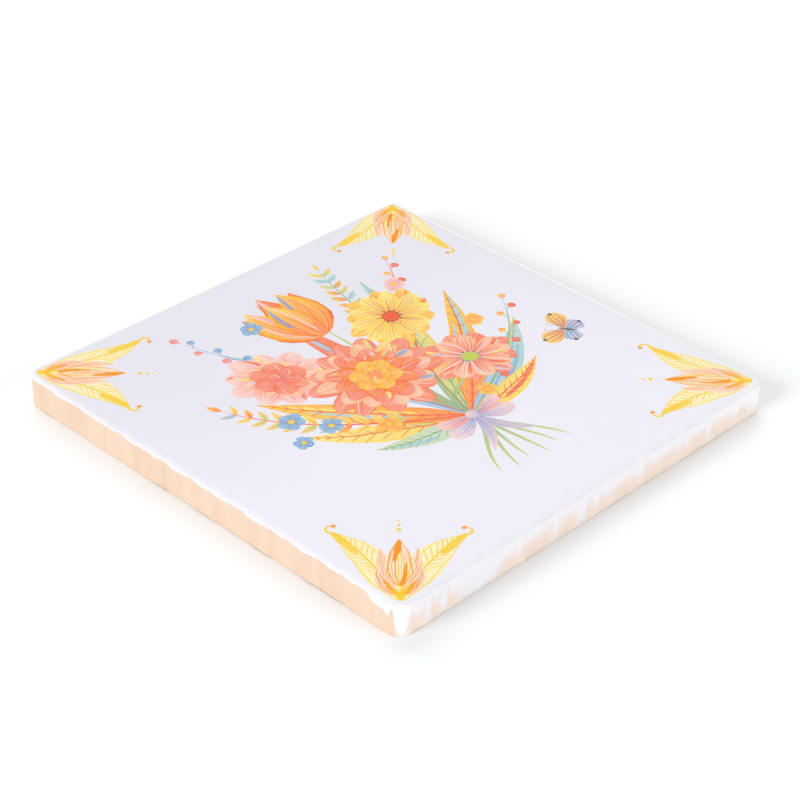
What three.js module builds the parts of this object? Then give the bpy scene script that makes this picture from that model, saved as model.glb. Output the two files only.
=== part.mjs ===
// A hand-glazed earthenware wall tile: a slab of bare clay under a thick glaze that rolls over the top
// edge, stops in a wavy lip on three sides and has run down the fourth. Units are millimetres, +Z is up,
// the tile lies on its back and the origin is the middle of the back face. As the picture hangs, +X is
// its right and +Y its top.
import * as THREE from "three";

// Driving dimensions
const SIDE = 100; // over the glaze, both ways
const THICKNESS = 7; // back face to the top of the glaze
const GLAZE = 0.35; // how far the glaze stands proud of the clay
const LIP_ROUND = 0.3; // height over which the glaze's lower edge swells to its full thickness
const EDGE_ROLL = 0.9; // radius of the glaze over the top edge
const EDGE_WAVE = 0.2; // how far the rolled edge wanders inwards
const BACK_BEVEL = 0.5; // bevel round the back face
const LEAST_FOOT = 0.25; // the lowest run stops this far above the back face
const LEAST_RISE = 0.02; // between one ring of the edge and the next

// Corner radii, in the order the outline meets them
const FOOT_LEFT_RADIUS = 3.0;
const FOOT_RIGHT_RADIUS = 1.8;
const HEAD_RIGHT_RADIUS = 1.2;
const HEAD_LEFT_RADIUS = 2.8;

// Shallow keys in the back that hold the adhesive bed
const KEY_COUNT = 6;
const KEY_WIDTH = 4;
const KEY_DEPTH = 0.5;
const KEY_MARGIN = 12; // clear border between the keys and the tile's edge

// How finely the surface is divided
const RUN_STEP = 0.6; // along the foot side, where the glaze has run
const PLAIN_STEP = 2; // along the other sides
const CORNER_STEPS = 6;
const LIP_STEPS = 2;
const ROLL_STEPS = 3;
const KEY_END_STEPS = 6;

// Glaze edge, as a height above the back in shares of the thickness, on the foot, right, head and left
const LIP_LEVELS = [0.49, 0.87, 0.86, 0.88];
const LIP_BLEND = 0.02; // share of a side over which one level turns into the next
const RIPPLE_HEIGHT = 0.02;

// The waves that the glaze's edges wander in, as whole waves round the tile, strength and lag
const WAVES = [
  { count: 37, size: 0.4, lag: 0 },
  { count: 61, size: 0.4, lag: 1.9 },
  { count: 97, size: 0.2, lag: 4.3 },
];
const ROLL_LAG = 5; // sets the rolled edge's wander apart from the lip's

// Where the glaze has run. "at" counts sides from the foot's left corner, so 0.5 is the middle of the
// foot side and 3.5 the middle of the left side. "half" is half the run's width as a share of a side,
// and "reach" is how low it comes as a share of the thickness.
const RUNS = [
  { at: 0.006, half: 0.02, reach: 0 },
  { at: 0.069, half: 0.009, reach: 0 },
  { at: 0.108, half: 0.01, reach: 0 },
  { at: 0.196, half: 0.06, reach: 0 },
  { at: 0.299, half: 0.011, reach: 0.27 },
  { at: 0.394, half: 0.009, reach: 0.06 },
  { at: 0.464, half: 0.016, reach: 0 },
  { at: 0.506, half: 0.009, reach: 0.26 },
  { at: 0.54, half: 0.014, reach: 0.33 },
  { at: 0.632, half: 0.012, reach: 0.34 },
  { at: 0.765, half: 0.009, reach: 0.35 },
  { at: 0.832, half: 0.01, reach: 0.2 },
  { at: 0.915, half: 0.014, reach: 0.26 },
  { at: 0.975, half: 0.024, reach: 0.16 },
  { at: 1.3, half: 0.014, reach: 0.7 },
  { at: 1.72, half: 0.02, reach: 0.62 },
  { at: 2.24, half: 0.018, reach: 0.66 },
  { at: 2.8, half: 0.012, reach: 0.72 },
  { at: 3.95, half: 0.026, reach: 0.68 },
  { at: 3.968, half: 0.007, reach: 0.56 },
];

// Worked out from the dimensions above
const HALF = SIDE / 2;
const CORNERS = [
  { x: -HALF, y: -HALF, radius: FOOT_LEFT_RADIUS },
  { x: HALF, y: -HALF, radius: FOOT_RIGHT_RADIUS },
  { x: HALF, y: HALF, radius: HEAD_RIGHT_RADIUS },
  { x: -HALF, y: HALF, radius: HEAD_LEFT_RADIUS },
];
const SIDE_COUNT = CORNERS.length;
const QUARTER = Math.PI / 2;

// Signed distance from one place on the outline to another, in sides, the short way round.
function sidesBetween(from, to) {
  const apart = (((to - from) % SIDE_COUNT) + SIDE_COUNT) % SIDE_COUNT;
  return apart > SIDE_COUNT / 2 ? apart - SIDE_COUNT : apart;
}

// A gentle wave from -1 to 1 along the outline, the same after one turn.
function wave(place, lag) {
  const turn = (place / SIDE_COUNT) * Math.PI * 2;
  return WAVES.reduce((sum, one) => sum + one.size * Math.sin(one.count * turn + one.lag + lag), 0);
}

// The level that the glaze would stop at without its runs.
function lipLevel(place) {
  const side = Math.floor(place) % SIDE_COUNT;
  const nearest = Math.round(place);
  const before = LIP_LEVELS[(nearest + SIDE_COUNT - 1) % SIDE_COUNT];
  const after = LIP_LEVELS[nearest % SIDE_COUNT];
  const past = sidesBetween(nearest, place);
  if (Math.abs(past) > LIP_BLEND) return LIP_LEVELS[side];
  return THREE.MathUtils.lerp(before, after, THREE.MathUtils.smoothstep(past, -LIP_BLEND, LIP_BLEND));
}

// Height of the glaze's lower edge above the back.
function glazeFoot(place) {
  const lip = lipLevel(place) + RIPPLE_HEIGHT * wave(place, 0);
  let drop = 0;
  for (const run of RUNS) {
    const off = sidesBetween(run.at, place) / run.half;
    drop = Math.max(drop, (lip - run.reach) * Math.exp(-(off ** 4)));
  }
  return Math.max(LEAST_FOOT, (lip - drop) * THICKNESS);
}

// The outline's points, anticlockwise from the foot's left corner: each has its place, the centre that
// it is offset from, the direction it faces and its distance from that centre.
function outlineStations() {
  const stations = [];
  CORNERS.forEach((corner, side) => {
    const next = CORNERS[(side + 1) % SIDE_COUNT];
    const facing = (side - 1) * QUARTER;
    const centre = new THREE.Vector2(
      corner.x - Math.sign(corner.x) * corner.radius,
      corner.y - Math.sign(corner.y) * corner.radius,
    );
    const cornerShare = corner.radius / SIDE;
    for (let i = 0; i < CORNER_STEPS; i++) {
      const share = i / CORNER_STEPS;
      stations.push({
        place: (side + cornerShare * (2 * share - 1) + SIDE_COUNT) % SIDE_COUNT,
        centre,
        angle: facing - QUARTER * (1 - share),
        reach: corner.radius,
      });
    }
    const length = SIDE - corner.radius - next.radius;
    const steps = Math.ceil(length / (side === 0 ? RUN_STEP : PLAIN_STEP));
    const along = new THREE.Vector2(Math.cos(facing + QUARTER), Math.sin(facing + QUARTER));
    for (let i = 0; i < steps; i++) {
      const travelled = (length * i) / steps;
      stations.push({
        place: side + (corner.radius + travelled) / SIDE,
        centre: centre.clone().addScaledVector(along, travelled),
        angle: facing,
        reach: corner.radius,
      });
    }
  });
  return stations;
}

// The section through the tile's edge at one place, from the back up to the top face, as pairs of
// distance inwards from the glaze's side and height.
function edgeProfile(place) {
  const foot = glazeFoot(place);
  const clayInset = (height) => GLAZE + Math.max(0, BACK_BEVEL - height);
  const bevelTop = Math.min(BACK_BEVEL, foot / 2);
  const profile = [
    [clayInset(0), 0],
    [clayInset(bevelTop), bevelTop],
    [clayInset(foot), foot],
  ];
  for (let i = 1; i <= LIP_STEPS; i++) {
    const angle = (QUARTER * i) / LIP_STEPS;
    profile.push([GLAZE * (1 - Math.sin(angle)), foot + LIP_ROUND * (1 - Math.cos(angle))]);
  }
  const wander = EDGE_WAVE * (0.5 + 0.5 * wave(place, ROLL_LAG));
  for (let i = 0; i <= ROLL_STEPS; i++) {
    const angle = (QUARTER * i) / ROLL_STEPS;
    const inwards = EDGE_ROLL * (1 - Math.cos(angle)) + wander * Math.sin(angle);
    profile.push([inwards, THICKNESS - EDGE_ROLL * (1 - Math.sin(angle))]);
  }
  return keepRising(profile);
}

// Lifts any point that lies below the one before it, where a high lip meets the rolled edge, and keeps
// room for those above it.
function keepRising(profile) {
  const last = profile.length - 1;
  for (let i = 1; i < last; i++) {
    const lifted = Math.max(profile[i][1], profile[i - 1][1] + LEAST_RISE);
    profile[i][1] = Math.min(lifted, profile[last][1] - (last - i) * LEAST_RISE);
  }
  return profile;
}

// One stadium-shaped key, as a closed outline.
function keyOutline(middle) {
  const reach = HALF - KEY_MARGIN - KEY_WIDTH / 2;
  const points = [];
  for (const end of [1, -1]) {
    for (let i = 0; i <= KEY_END_STEPS; i++) {
      const angle = (Math.PI * i) / KEY_END_STEPS + (end > 0 ? 0 : Math.PI);
      points.push(
        new THREE.Vector2(
          middle + (KEY_WIDTH / 2) * Math.cos(angle),
          end * reach + (KEY_WIDTH / 2) * Math.sin(angle),
        ),
      );
    }
  }
  return points;
}

// The keys, side by side across the back with their middles evenly spaced and clear of the centre.
function keyOutlines() {
  const pitch = (SIDE - 2 * KEY_MARGIN) / KEY_COUNT;
  return Array.from({ length: KEY_COUNT }, (_, i) => keyOutline((i - (KEY_COUNT - 1) / 2) * pitch));
}

// Collects vertices and triangles for one closed surface.
class Skin {
  constructor() {
    this.positions = [];
    this.triangles = [];
  }

  // Adds one point and returns its number.
  addPoint(point, height) {
    return this.positions.push(point.x, point.y, height) / 3 - 1;
  }

  // Adds points in the plane at one height and returns their numbers.
  addLevel(points, height) {
    return points.map((point) => this.addPoint(point, height));
  }

  point(number) {
    return new THREE.Vector3().fromArray(this.positions, number * 3);
  }

  // Joins two rings of as many points, the second above or inside the first, across the shorter way.
  join(lower, upper) {
    lower.forEach((a, i) => {
      const j = (i + 1) % lower.length;
      const [b, c, d] = [lower[j], upper[j], upper[i]];
      const rising = this.point(a).distanceToSquared(this.point(c));
      const falling = this.point(b).distanceToSquared(this.point(d));
      this.triangles.push(...(rising <= falling ? [a, b, c, a, c, d] : [a, b, d, b, c, d]));
    });
  }

  // Closes a flat region that is bounded by an outline and may hold holes, facing up or down.
  cap(outline, holes, numbers, facesUp) {
    for (const [a, b, c] of THREE.ShapeUtils.triangulateShape(outline, holes)) {
      const corners = [numbers[a], numbers[b], numbers[c]];
      this.triangles.push(...(facesUp ? corners : corners.reverse()));
    }
  }

  geometry() {
    const made = new THREE.BufferGeometry();
    made.setAttribute("position", new THREE.Float32BufferAttribute(this.positions, 3));
    made.setIndex(this.triangles);
    made.computeVertexNormals();
    return made;
  }
}

// The whole tile as one closed surface: its edge, top face, back face and keys.
function tileGeometry() {
  const skin = new Skin();
  const stations = outlineStations();
  const profiles = stations.map((station) => edgeProfile(station.place));
  const levels = profiles[0].length;
  const ringPoints = (level) =>
    stations.map((station, i) => {
      const reach = station.reach - profiles[i][level][0];
      return new THREE.Vector2(
        station.centre.x + reach * Math.cos(station.angle),
        station.centre.y + reach * Math.sin(station.angle),
      );
    });
  const rings = [];
  for (let level = 0; level < levels; level++) {
    rings.push(ringPoints(level).map((point, i) => skin.addPoint(point, profiles[i][level][1])));
    if (level) skin.join(rings[level - 1], rings[level]);
  }
  skin.cap(ringPoints(levels - 1), [], rings[levels - 1], true);

  const keys = keyOutlines();
  const mouths = keys.map((outline) => skin.addLevel(outline, 0));
  skin.cap(ringPoints(0), keys, [...rings[0], ...mouths.flat()], false);
  keys.forEach((outline, i) => {
    const floor = skin.addLevel(outline, KEY_DEPTH);
    skin.join(floor, mouths[i]);
    skin.cap(outline, [], floor, false);
  });
  return skin.geometry();
}

const tile = new THREE.Mesh(
  tileGeometry(),
  new THREE.MeshStandardMaterial({ color: 0xecebf4, roughness: 0.12, metalness: 0 }),
);
tile.name = "tile";

const part = new THREE.Group();
part.add(tile);

export default part;
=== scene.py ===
"""A hand-glazed picture tile on a pale floor.

The tile is one piece: a slab of bare earthenware under a thick white glaze that rolls over the top edge,
stops in a wavy lip on three sides and has run down the fourth. A posy of flowers and four corner lilies
are painted in the glaze. Work is in millimetres, and turned into metres where a mesh is made.
"""

import logging
import math
from collections.abc import Callable
from dataclasses import dataclass, field
from enum import Enum

import bmesh
import bpy
import numpy as np
from mathutils import Matrix, Vector
from mathutils.geometry import delaunay_2d_cdt


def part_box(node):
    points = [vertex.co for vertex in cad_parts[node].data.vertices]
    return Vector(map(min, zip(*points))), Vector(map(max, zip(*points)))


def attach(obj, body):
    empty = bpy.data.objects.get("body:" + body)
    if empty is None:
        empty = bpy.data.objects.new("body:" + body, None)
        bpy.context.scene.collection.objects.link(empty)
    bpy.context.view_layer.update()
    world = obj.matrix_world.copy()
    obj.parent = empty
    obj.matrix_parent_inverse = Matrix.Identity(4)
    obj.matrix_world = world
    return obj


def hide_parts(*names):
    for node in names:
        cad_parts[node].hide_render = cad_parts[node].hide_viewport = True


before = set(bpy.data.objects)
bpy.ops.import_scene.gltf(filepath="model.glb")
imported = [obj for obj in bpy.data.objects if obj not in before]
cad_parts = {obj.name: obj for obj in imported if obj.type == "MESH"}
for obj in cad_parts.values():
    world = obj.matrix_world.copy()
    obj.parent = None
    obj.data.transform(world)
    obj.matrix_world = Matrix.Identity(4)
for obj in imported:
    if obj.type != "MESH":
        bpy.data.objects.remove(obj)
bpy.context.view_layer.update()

log = logging.getLogger("tile")

Points = np.ndarray
Spot = tuple[float, float]
Waves = tuple[tuple[int, float, float], ...]
MM = 0.001  # one millimetre, in metres
QUARTER = math.pi / 2
SIDE_COUNT = 4


# Brushwork


class Pigment(Enum):
    """Colours on the palette, as they look on paper, from 0 to 255."""

    CORAL = (240, 88, 52)
    SALMON = (250, 138, 98)
    ORANGE = (252, 136, 12)
    FLAME = (240, 84, 8)
    OCHRE = (247, 155, 8)
    SAFFRON = (249, 210, 2)
    STRAW = (248, 230, 102)
    YELLOW = (254, 206, 18)
    LEMON = (253, 232, 112)
    PEACH = (253, 200, 160)
    PINK = (240, 128, 140)
    BLUSH = (252, 200, 190)
    SKY = (112, 178, 218)
    BLUE = (70, 128, 192)
    MINT = (156, 208, 190)
    LIME = (196, 208, 74)
    LEAF = (120, 176, 124)
    LILAC = (176, 156, 210)
    SLATE = (66, 64, 74)

    @property
    def linear(self) -> np.ndarray:
        """The colour as light, from 0 to 1."""
        share = np.array(self.value) / 255
        return np.where(share <= 0.04045, share / 12.92, ((share + 0.055) / 1.055) ** 2.4)


class Form(Enum):
    """Outline of a stroke, as the two powers that shape a half wave along it."""

    PETAL = (1.75, 0.62)
    SHELL = (1.35, 0.5)
    LEAF = (0.82, 0.95)
    FLAME = (0.75, 0.8)
    LINE = (0.62, 0.45)
    DOT = (1.0, 0.57)

    def half_widths(self, shares: np.ndarray, widest: float) -> np.ndarray:
        """Half widths of the stroke.

        Args:
            shares: places along the stroke, from 0 to 1.
            widest: half of the stroke's greatest width.

        Returns:
            One half width for each place.
        """
        lean, fullness = self.value
        return np.maximum(widest * np.sin(np.pi * shares**lean) ** fullness, 0.015)


@dataclass(frozen=True)
class Ink:
    """What a stroke is painted with: its tints at root and tip, and how it covers."""

    root: Pigment
    tip: Pigment
    strength: float = 0.8
    hides: float = 0.85
    lines: float = 0.0


def cosine_shares(count: int) -> np.ndarray:
    """Places from 0 to 1 that crowd towards both ends."""
    return (1 - np.cos(np.linspace(0, np.pi, count))) / 2


def arc(start: Spot, heading: float, length: float, turn: float, shares: np.ndarray) -> Points:
    """Points along an arc.

    Args:
        start: where it begins.
        heading: direction of its chord.
        length: length along it.
        turn: how far it turns from end to end.
        shares: places along it, from 0 to 1.

    Returns:
        One point for each place.
    """
    if abs(turn) < 1e-3:
        moves = np.outer(shares * length, (math.cos(heading), math.sin(heading)))
        return np.array(start) + moves
    first = heading - turn / 2
    angles = first + turn * shares
    radius = length / turn
    moves = np.c_[np.sin(angles) - math.sin(first), math.cos(first) - np.cos(angles)] * radius
    return np.array(start) + moves


def bezier(knots: list[Spot], shares: np.ndarray) -> Points:
    """Points along the cubic curve that four knots steer.

    Args:
        knots: the four places that steer it.
        shares: places along it, from 0 to 1.

    Returns:
        One point for each share.
    """
    a, b, c, d = (np.array(knot, float) for knot in knots)
    s = shares[:, None]
    return a * (1 - s) ** 3 + 3 * b * s * (1 - s) ** 2 + 3 * c * s**2 * (1 - s) + d * s**3


@dataclass(frozen=True)
class Stroke:
    """One brush or pencil stroke: an axis with a half width at each of its points."""

    axis: Points
    half: np.ndarray
    ink: Ink
    seed: float

    def across(self) -> Points:
        """Unit directions to the left of the axis.

        Returns:
            One direction for each point of the axis.
        """
        along = np.gradient(self.axis, axis=0)
        along /= np.maximum(np.linalg.norm(along, axis=1, keepdims=True), 1e-9)
        return np.c_[-along[:, 1], along[:, 0]]

    def outline(self) -> Points:
        """The stroke's outline, anticlockwise."""
        aside = self.across() * self.half[:, None]
        return np.r_[self.axis - aside, (self.axis + aside)[::-1]]

    def locate(self, points: Points) -> tuple[np.ndarray, np.ndarray]:
        """Finds points on the stroke.

        Args:
            points: places on the tile's face.

        Returns:
            Shares along the stroke, from 0 to 1, and across it, from -1 to 1.
        """
        first = self.axis[:-1]
        span = self.axis[1:] - first
        away = points[:, None] - first
        share = np.clip((away * span).sum(2) / np.maximum((span**2).sum(1), 1e-12), 0, 1)
        miss = away - share[..., None] * span
        nearest = (miss**2).sum(2).argmin(1)
        rows = np.arange(len(points))
        share, miss, span = share[rows, nearest], miss[rows, nearest], span[nearest]
        lengths = np.maximum(np.linalg.norm(span, axis=1), 1e-9)
        side = (span[:, 0] * miss[:, 1] - span[:, 1] * miss[:, 0]) / lengths
        place = nearest + share
        half = np.interp(place, np.arange(len(self.half)), self.half)
        return place / (len(self.axis) - 1), np.clip(side / half, -1, 1)

    def moved(self, matrix: np.ndarray, offset: Spot) -> "Stroke":
        """The stroke after a flattening, turn or mirroring, and then a shift."""
        stretch = np.linalg.norm(self.across() @ matrix.T, axis=1)
        return Stroke(self.axis @ matrix.T + np.array(offset), self.half * stretch, self.ink, self.seed)

    def streak(self, across: float, begin: float, end: float, width: float, ink: Ink) -> "Stroke":
        """A thin line that follows this stroke.

        Args:
            across: its place across the stroke, from -1 to 1.
            begin: where it starts along the stroke, from 0 to 1.
            end: where it stops.
            width: half of its greatest width.
            ink: what it is drawn with.

        Returns:
            The line.
        """
        shares = begin + (end - begin) * cosine_shares(6)
        places = shares * (len(self.axis) - 1)
        steps = np.arange(len(self.axis))
        shifted = self.axis + self.across() * (self.half * across)[:, None]
        axis = np.c_[np.interp(places, steps, shifted[:, 0]), np.interp(places, steps, shifted[:, 1])]
        half = Form.LINE.half_widths(cosine_shares(6), width)
        return Stroke(axis, half, ink, self.seed + 7 * across)


class Painter:
    """Lays strokes in order, each a little different from the last."""

    def __init__(self, seed: int) -> None:
        """Starts a sheet of strokes with its own stream of chance."""
        self.chance = np.random.default_rng(seed)
        self.strokes: list[Stroke] = []

    def vary(self, value: float, share: float) -> float:
        """A value, changed by up to a share of itself."""
        return value * (1 + share * self.chance.uniform(-1, 1))

    def shape(self, axis: Points, shares: np.ndarray, form: Form, widest: float, ink: Ink) -> Stroke:
        """Makes a stroke with a slightly unsteady outline.

        Args:
            axis: its middle line.
            shares: where the axis points lie along it.
            form: its outline.
            widest: half of its greatest width.
            ink: what it is painted with.

        Returns:
            The stroke, not yet laid.
        """
        half = form.half_widths(shares, widest)
        phase = self.chance.uniform(0, 6)
        unsteady = 1 + 0.05 * np.sin(9 * shares + phase) + 0.03 * np.sin(21 * shares + 2 * phase)
        return Stroke(axis, half * unsteady, ink, self.chance.uniform(0, 50))

    def petal(
        self, start: Spot, heading: float, length: float, widest: float, turn: float,
        ink: Ink, form: Form = Form.PETAL,
    ) -> Stroke:
        """Makes a petal or leaf on an arc."""
        shares = cosine_shares(14)
        return self.shape(arc(start, heading, length, turn, shares), shares, form, widest, ink)

    def line(self, knots: list[Spot], widest: float, ink: Ink, form: Form = Form.LINE) -> Stroke:
        """Makes a stem or line along a curve that four knots steer."""
        shares = cosine_shares(18)
        return self.shape(bezier(knots, shares), shares, form, widest, ink)

    def dot(self, middle: Spot, radius: float, ink: Ink) -> Stroke:
        """Makes a round dab.

        Args:
            middle: its middle.
            radius: its radius.
            ink: what it is painted with.

        Returns:
            The dab.
        """
        heading = self.chance.uniform(0, 2 * math.pi)
        start = (middle[0] - radius * math.cos(heading), middle[1] - radius * math.sin(heading))
        shares = cosine_shares(9)
        return self.shape(arc(start, heading, 2 * radius, 0, shares), shares, Form.DOT, radius, ink)

    def lay(self, *strokes: Stroke) -> None:
        """Adds strokes on top of those already laid."""
        self.strokes.extend(strokes)

    def with_accents(self, base: Stroke, inks: tuple[Ink, ...], chance: float) -> list[Stroke]:
        """A stroke and, now and then, one or two broad dabs of other colours towards its tip.

        Args:
            base: the stroke beneath.
            inks: what the dabs may be painted with.
            chance: how likely each dab is.

        Returns:
            The stroke, then its dabs.
        """
        found = [base]
        for across in (-0.4, 0.4):
            if self.chance.uniform() < chance:
                begin = self.chance.uniform(0.3, 0.6)
                end = min(begin + self.chance.uniform(0.3, 0.5), 0.97)
                width = min(self.vary(0.24, 0.3) * float(base.half.max()), 0.55)
                ink = inks[int(self.chance.integers(len(inks)))]
                found.append(base.streak(self.vary(across, 0.4), begin, end, width, ink))
        return found

    def with_streaks(self, base: Stroke, inks: list[Ink], count: int, width: float = 0.13) -> list[Stroke]:
        """A stroke and the pencil lines that run along it.

        Args:
            base: the stroke beneath.
            inks: what the lines are drawn with, in turn.
            count: how many lines there are.
            width: half of a line's width.

        Returns:
            The stroke, then its lines.
        """
        found = [base]
        for i in range(count):
            across = self.vary((2 * (i + 0.5) / count - 1) * 0.82, 0.12)
            begin = self.chance.uniform(0.06, 0.3)
            end = self.chance.uniform(0.62, 0.95)
            ink = inks[int(self.chance.integers(len(inks)))]
            found.append(base.streak(across, begin, end, self.vary(width, 0.35), ink))
        return found


@dataclass(frozen=True)
class View:
    """How a bloom is turned to the viewer: its middle, tilt and foreshortening."""

    middle: Spot
    tilt: float = 0.0
    squash: float = 1.0

    def matrix(self) -> np.ndarray:
        """The flattening across the tilt.

        Returns:
            The matrix.
        """
        c, s = math.cos(self.tilt), math.sin(self.tilt)
        turn = np.array([[c, -s], [s, c]])
        return turn @ np.diag([1.0, self.squash]) @ turn.T

    def place(self, strokes: list[Stroke]) -> list[Stroke]:
        """Strokes drawn round the origin, seen this way."""
        return [stroke.moved(self.matrix(), self.middle) for stroke in strokes]


@dataclass(frozen=True)
class Rosette:
    """A full bloom: rings of broad petals, smaller and deeper towards the heart."""

    view: View
    radius: float
    inks: tuple[Ink, ...]
    lines: tuple[Ink, ...]
    accents: tuple[Ink, ...] = ()
    counts: tuple[int, ...] = (11, 10, 8, 7, 5, 4)

    def paint(self, painter: Painter) -> None:
        """Lays the bloom, from its outer ring to its heart.

        Args:
            painter: who lays the strokes.
        """
        found: list[Stroke] = []
        for ring, count in enumerate(self.counts):
            reach = self.radius * (1 - ring / len(self.counts)) ** 0.85
            for i in range(count):
                heading = 2 * math.pi * (i + 0.37 * ring) / count + painter.chance.uniform(-0.12, 0.12)
                length = painter.vary(reach, 0.08)
                ink = self.inks[min(ring, len(self.inks) - 1)]
                widest = reach * 2.05 / count**0.9
                turn = painter.vary(0.2, 1)
                petal = painter.petal((0, 0), heading, length, widest, turn, ink, Form.SHELL)
                found += painter.with_accents(petal, self.accents, 0.3 if self.accents and ring < 3 else 0)
                found += painter.with_streaks(petal, list(self.lines), 5 if ring < 3 else 2, 0.1)[1:]
        painter.lay(*self.view.place(found))


@dataclass(frozen=True)
class OpenBloom:
    """A bloom with two rings of long petals round a dotted eye."""

    view: View
    radius: float
    count: int
    back: Ink
    front: Ink
    lines: tuple[Ink, ...]
    accents: tuple[Ink, ...] = ()
    eye: Pigment = Pigment.YELLOW
    eye_dots: Pigment = Pigment.FLAME

    def paint(self, painter: Painter) -> None:
        """Lays the back ring, the front ring and the eye.

        Args:
            painter: who lays the strokes.
        """
        found: list[Stroke] = []
        widest = self.radius * 2.1 / self.count
        for ring, ink in enumerate((self.back, self.front)):
            for i in range(self.count):
                heading = 2 * math.pi * (i + 0.5 * ring) / self.count + painter.chance.uniform(-0.08, 0.08)
                length = painter.vary(self.radius * (1 - 0.1 * ring), 0.07)
                petal = painter.petal((0, 0), heading, length, widest, painter.vary(0.3, 1), ink)
                found += painter.with_accents(petal, self.accents, 0.35 if self.accents else 0)
                found += painter.with_streaks(petal, list(self.lines), 4, 0.11)[1:]
        found += self.heart(painter)
        painter.lay(*self.view.place(found))

    def heart(self, painter: Painter) -> list[Stroke]:
        """The eye and its ring of dots.

        Args:
            painter: who lays the strokes.

        Returns:
            Their strokes.
        """
        found = [painter.dot((0, 0), self.radius * 0.2, Ink(self.eye, self.eye, 0.95, 1))]
        dots = 12
        for i in range(dots):
            angle = 2 * math.pi * i / dots
            for reach, size in ((0.2, 0.26), (0.27, 0.18)):
                away = painter.vary(self.radius * reach, 0.12)
                spot = (away * math.cos(angle), away * math.sin(angle))
                ink = Ink(self.eye_dots, self.eye_dots, 0.9, 1)
                found.append(painter.dot(spot, painter.vary(size, 0.3), ink))
        return found


@dataclass(frozen=True)
class Tulip:
    """A cup of pointed petals seen from the side."""

    base: Spot
    heading: float
    length: float
    back: Ink
    front: Ink
    lines: tuple[Ink, ...]
    accents: tuple[Ink, ...]

    def paint(self, painter: Painter) -> None:
        """Lays the far petals, then the near ones.

        Args:
            painter: who lays the strokes.
        """
        petals = (
            (self.back, -0.42, 0.92, 0.2, -0.5),
            (self.back, 0.42, 0.95, 0.2, 0.5),
            (self.back, 0.05, 1.02, 0.2, 0.0),
            (self.front, -0.26, 0.96, 0.22, -0.75),
            (self.front, 0.27, 1.0, 0.22, 0.75),
            (self.front, 0.0, 0.84, 0.21, 0.06),
        )
        for ink, lean, reach, width, turn in petals:
            heading = self.heading - lean
            length, widest = self.length * reach, self.length * width
            petal = painter.petal(self.base, heading, length, widest, turn, ink, Form.LEAF)
            painter.lay(*painter.with_accents(petal, self.accents, 0.8))
            painter.lay(*painter.with_streaks(petal, list(self.lines), 7, 0.11)[1:])


@dataclass(frozen=True)
class Blossom:
    """A small five-petalled flower."""

    view: View
    radius: float
    ink: Ink
    eye: Pigment = Pigment.YELLOW
    count: int = 5

    def paint(self, painter: Painter) -> None:
        """Lays the petals and a dot.

        Args:
            painter: who lays the strokes.
        """
        first = painter.chance.uniform(0, 1)
        headings = [first + 2 * math.pi * i / self.count for i in range(self.count)]
        widest = self.radius * 0.42
        found = [painter.petal((0, 0), heading, self.radius, widest, 0, self.ink) for heading in headings]
        found.append(painter.dot((0, 0), self.radius * 0.24, Ink(self.eye, self.eye, 0.95, 1)))
        painter.lay(*self.view.place(found))


@dataclass(frozen=True)
class VeinedLeaf:
    """A leaf on a curved axis with a midrib and side veins."""

    start: Spot
    heading: float
    length: float
    widest: float
    turn: float
    ink: Ink
    vein: Ink
    ribs: int = 7
    accents: tuple[Ink, ...] = ()

    def strokes(self, painter: Painter) -> list[Stroke]:
        """The leaf, its dabs, its midrib and its side veins.

        Args:
            painter: who lays the strokes.

        Returns:
            The leaf, then what lies on it.
        """
        leaf = painter.petal(
            self.start, self.heading, self.length, self.widest, self.turn, self.ink, Form.LEAF
        )
        found = painter.with_accents(leaf, self.accents, 0.8 if self.accents else 0)
        steps = np.arange(len(leaf.axis))
        for i in range(self.ribs):
            at = (0.12 + 0.74 * i / self.ribs) * (len(leaf.axis) - 1)
            x, y, half = (float(np.interp(at, steps, row)) for row in (*leaf.axis.T, leaf.half))
            for side in (1, -1):
                normal = leaf.across()[int(at)] * side
                angle = math.atan2(normal[1], normal[0]) - side * painter.vary(0.9, 0.08)
                shares = cosine_shares(5)
                axis = arc((x, y), angle, half * painter.vary(1.3, 0.1), side * 0.35, shares)
                found.append(Stroke(axis, Form.LINE.half_widths(shares, 0.11), self.vein, at))
        found.append(leaf.streak(0, 0, 0.97, 0.19, self.vein))
        return found

    def paint(self, painter: Painter) -> None:
        """Lays the leaf."""
        painter.lay(*self.strokes(painter))


@dataclass(frozen=True)
class BerrySprig:
    """A fine stem with stalked berries on alternate sides."""

    knots: tuple[Spot, ...]
    stem: Ink
    berries: tuple[Ink, ...]
    count: int = 9
    size: float = 0.85
    lean: float = 0.75

    def paint(self, painter: Painter) -> None:
        """Lays the stem, then each stalk with its berry.

        Args:
            painter: who lays the strokes.
        """
        painter.lay(painter.line(list(self.knots), 0.22, self.stem))
        shares = np.linspace(0.3, 1, self.count)
        points = bezier(list(self.knots), shares)
        along = np.gradient(points, axis=0)
        for i, (point, way) in enumerate(zip(points, along, strict=True)):
            lean = 0 if i == self.count - 1 else self.lean if i % 2 else -self.lean
            heading = math.atan2(way[1], way[0]) + lean
            reach = painter.vary(2.6 * (1.15 - 0.5 * shares[i]), 0.15)
            steps = cosine_shares(6)
            stalk = arc(tuple(point), heading, reach, 0.3, steps)
            painter.lay(Stroke(stalk, Form.LINE.half_widths(steps, 0.12), self.stem, float(i)))
            ink = self.berries[i % len(self.berries)]
            painter.lay(painter.dot(tuple(stalk[-1]), painter.vary(self.size, 0.2), ink))


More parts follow.
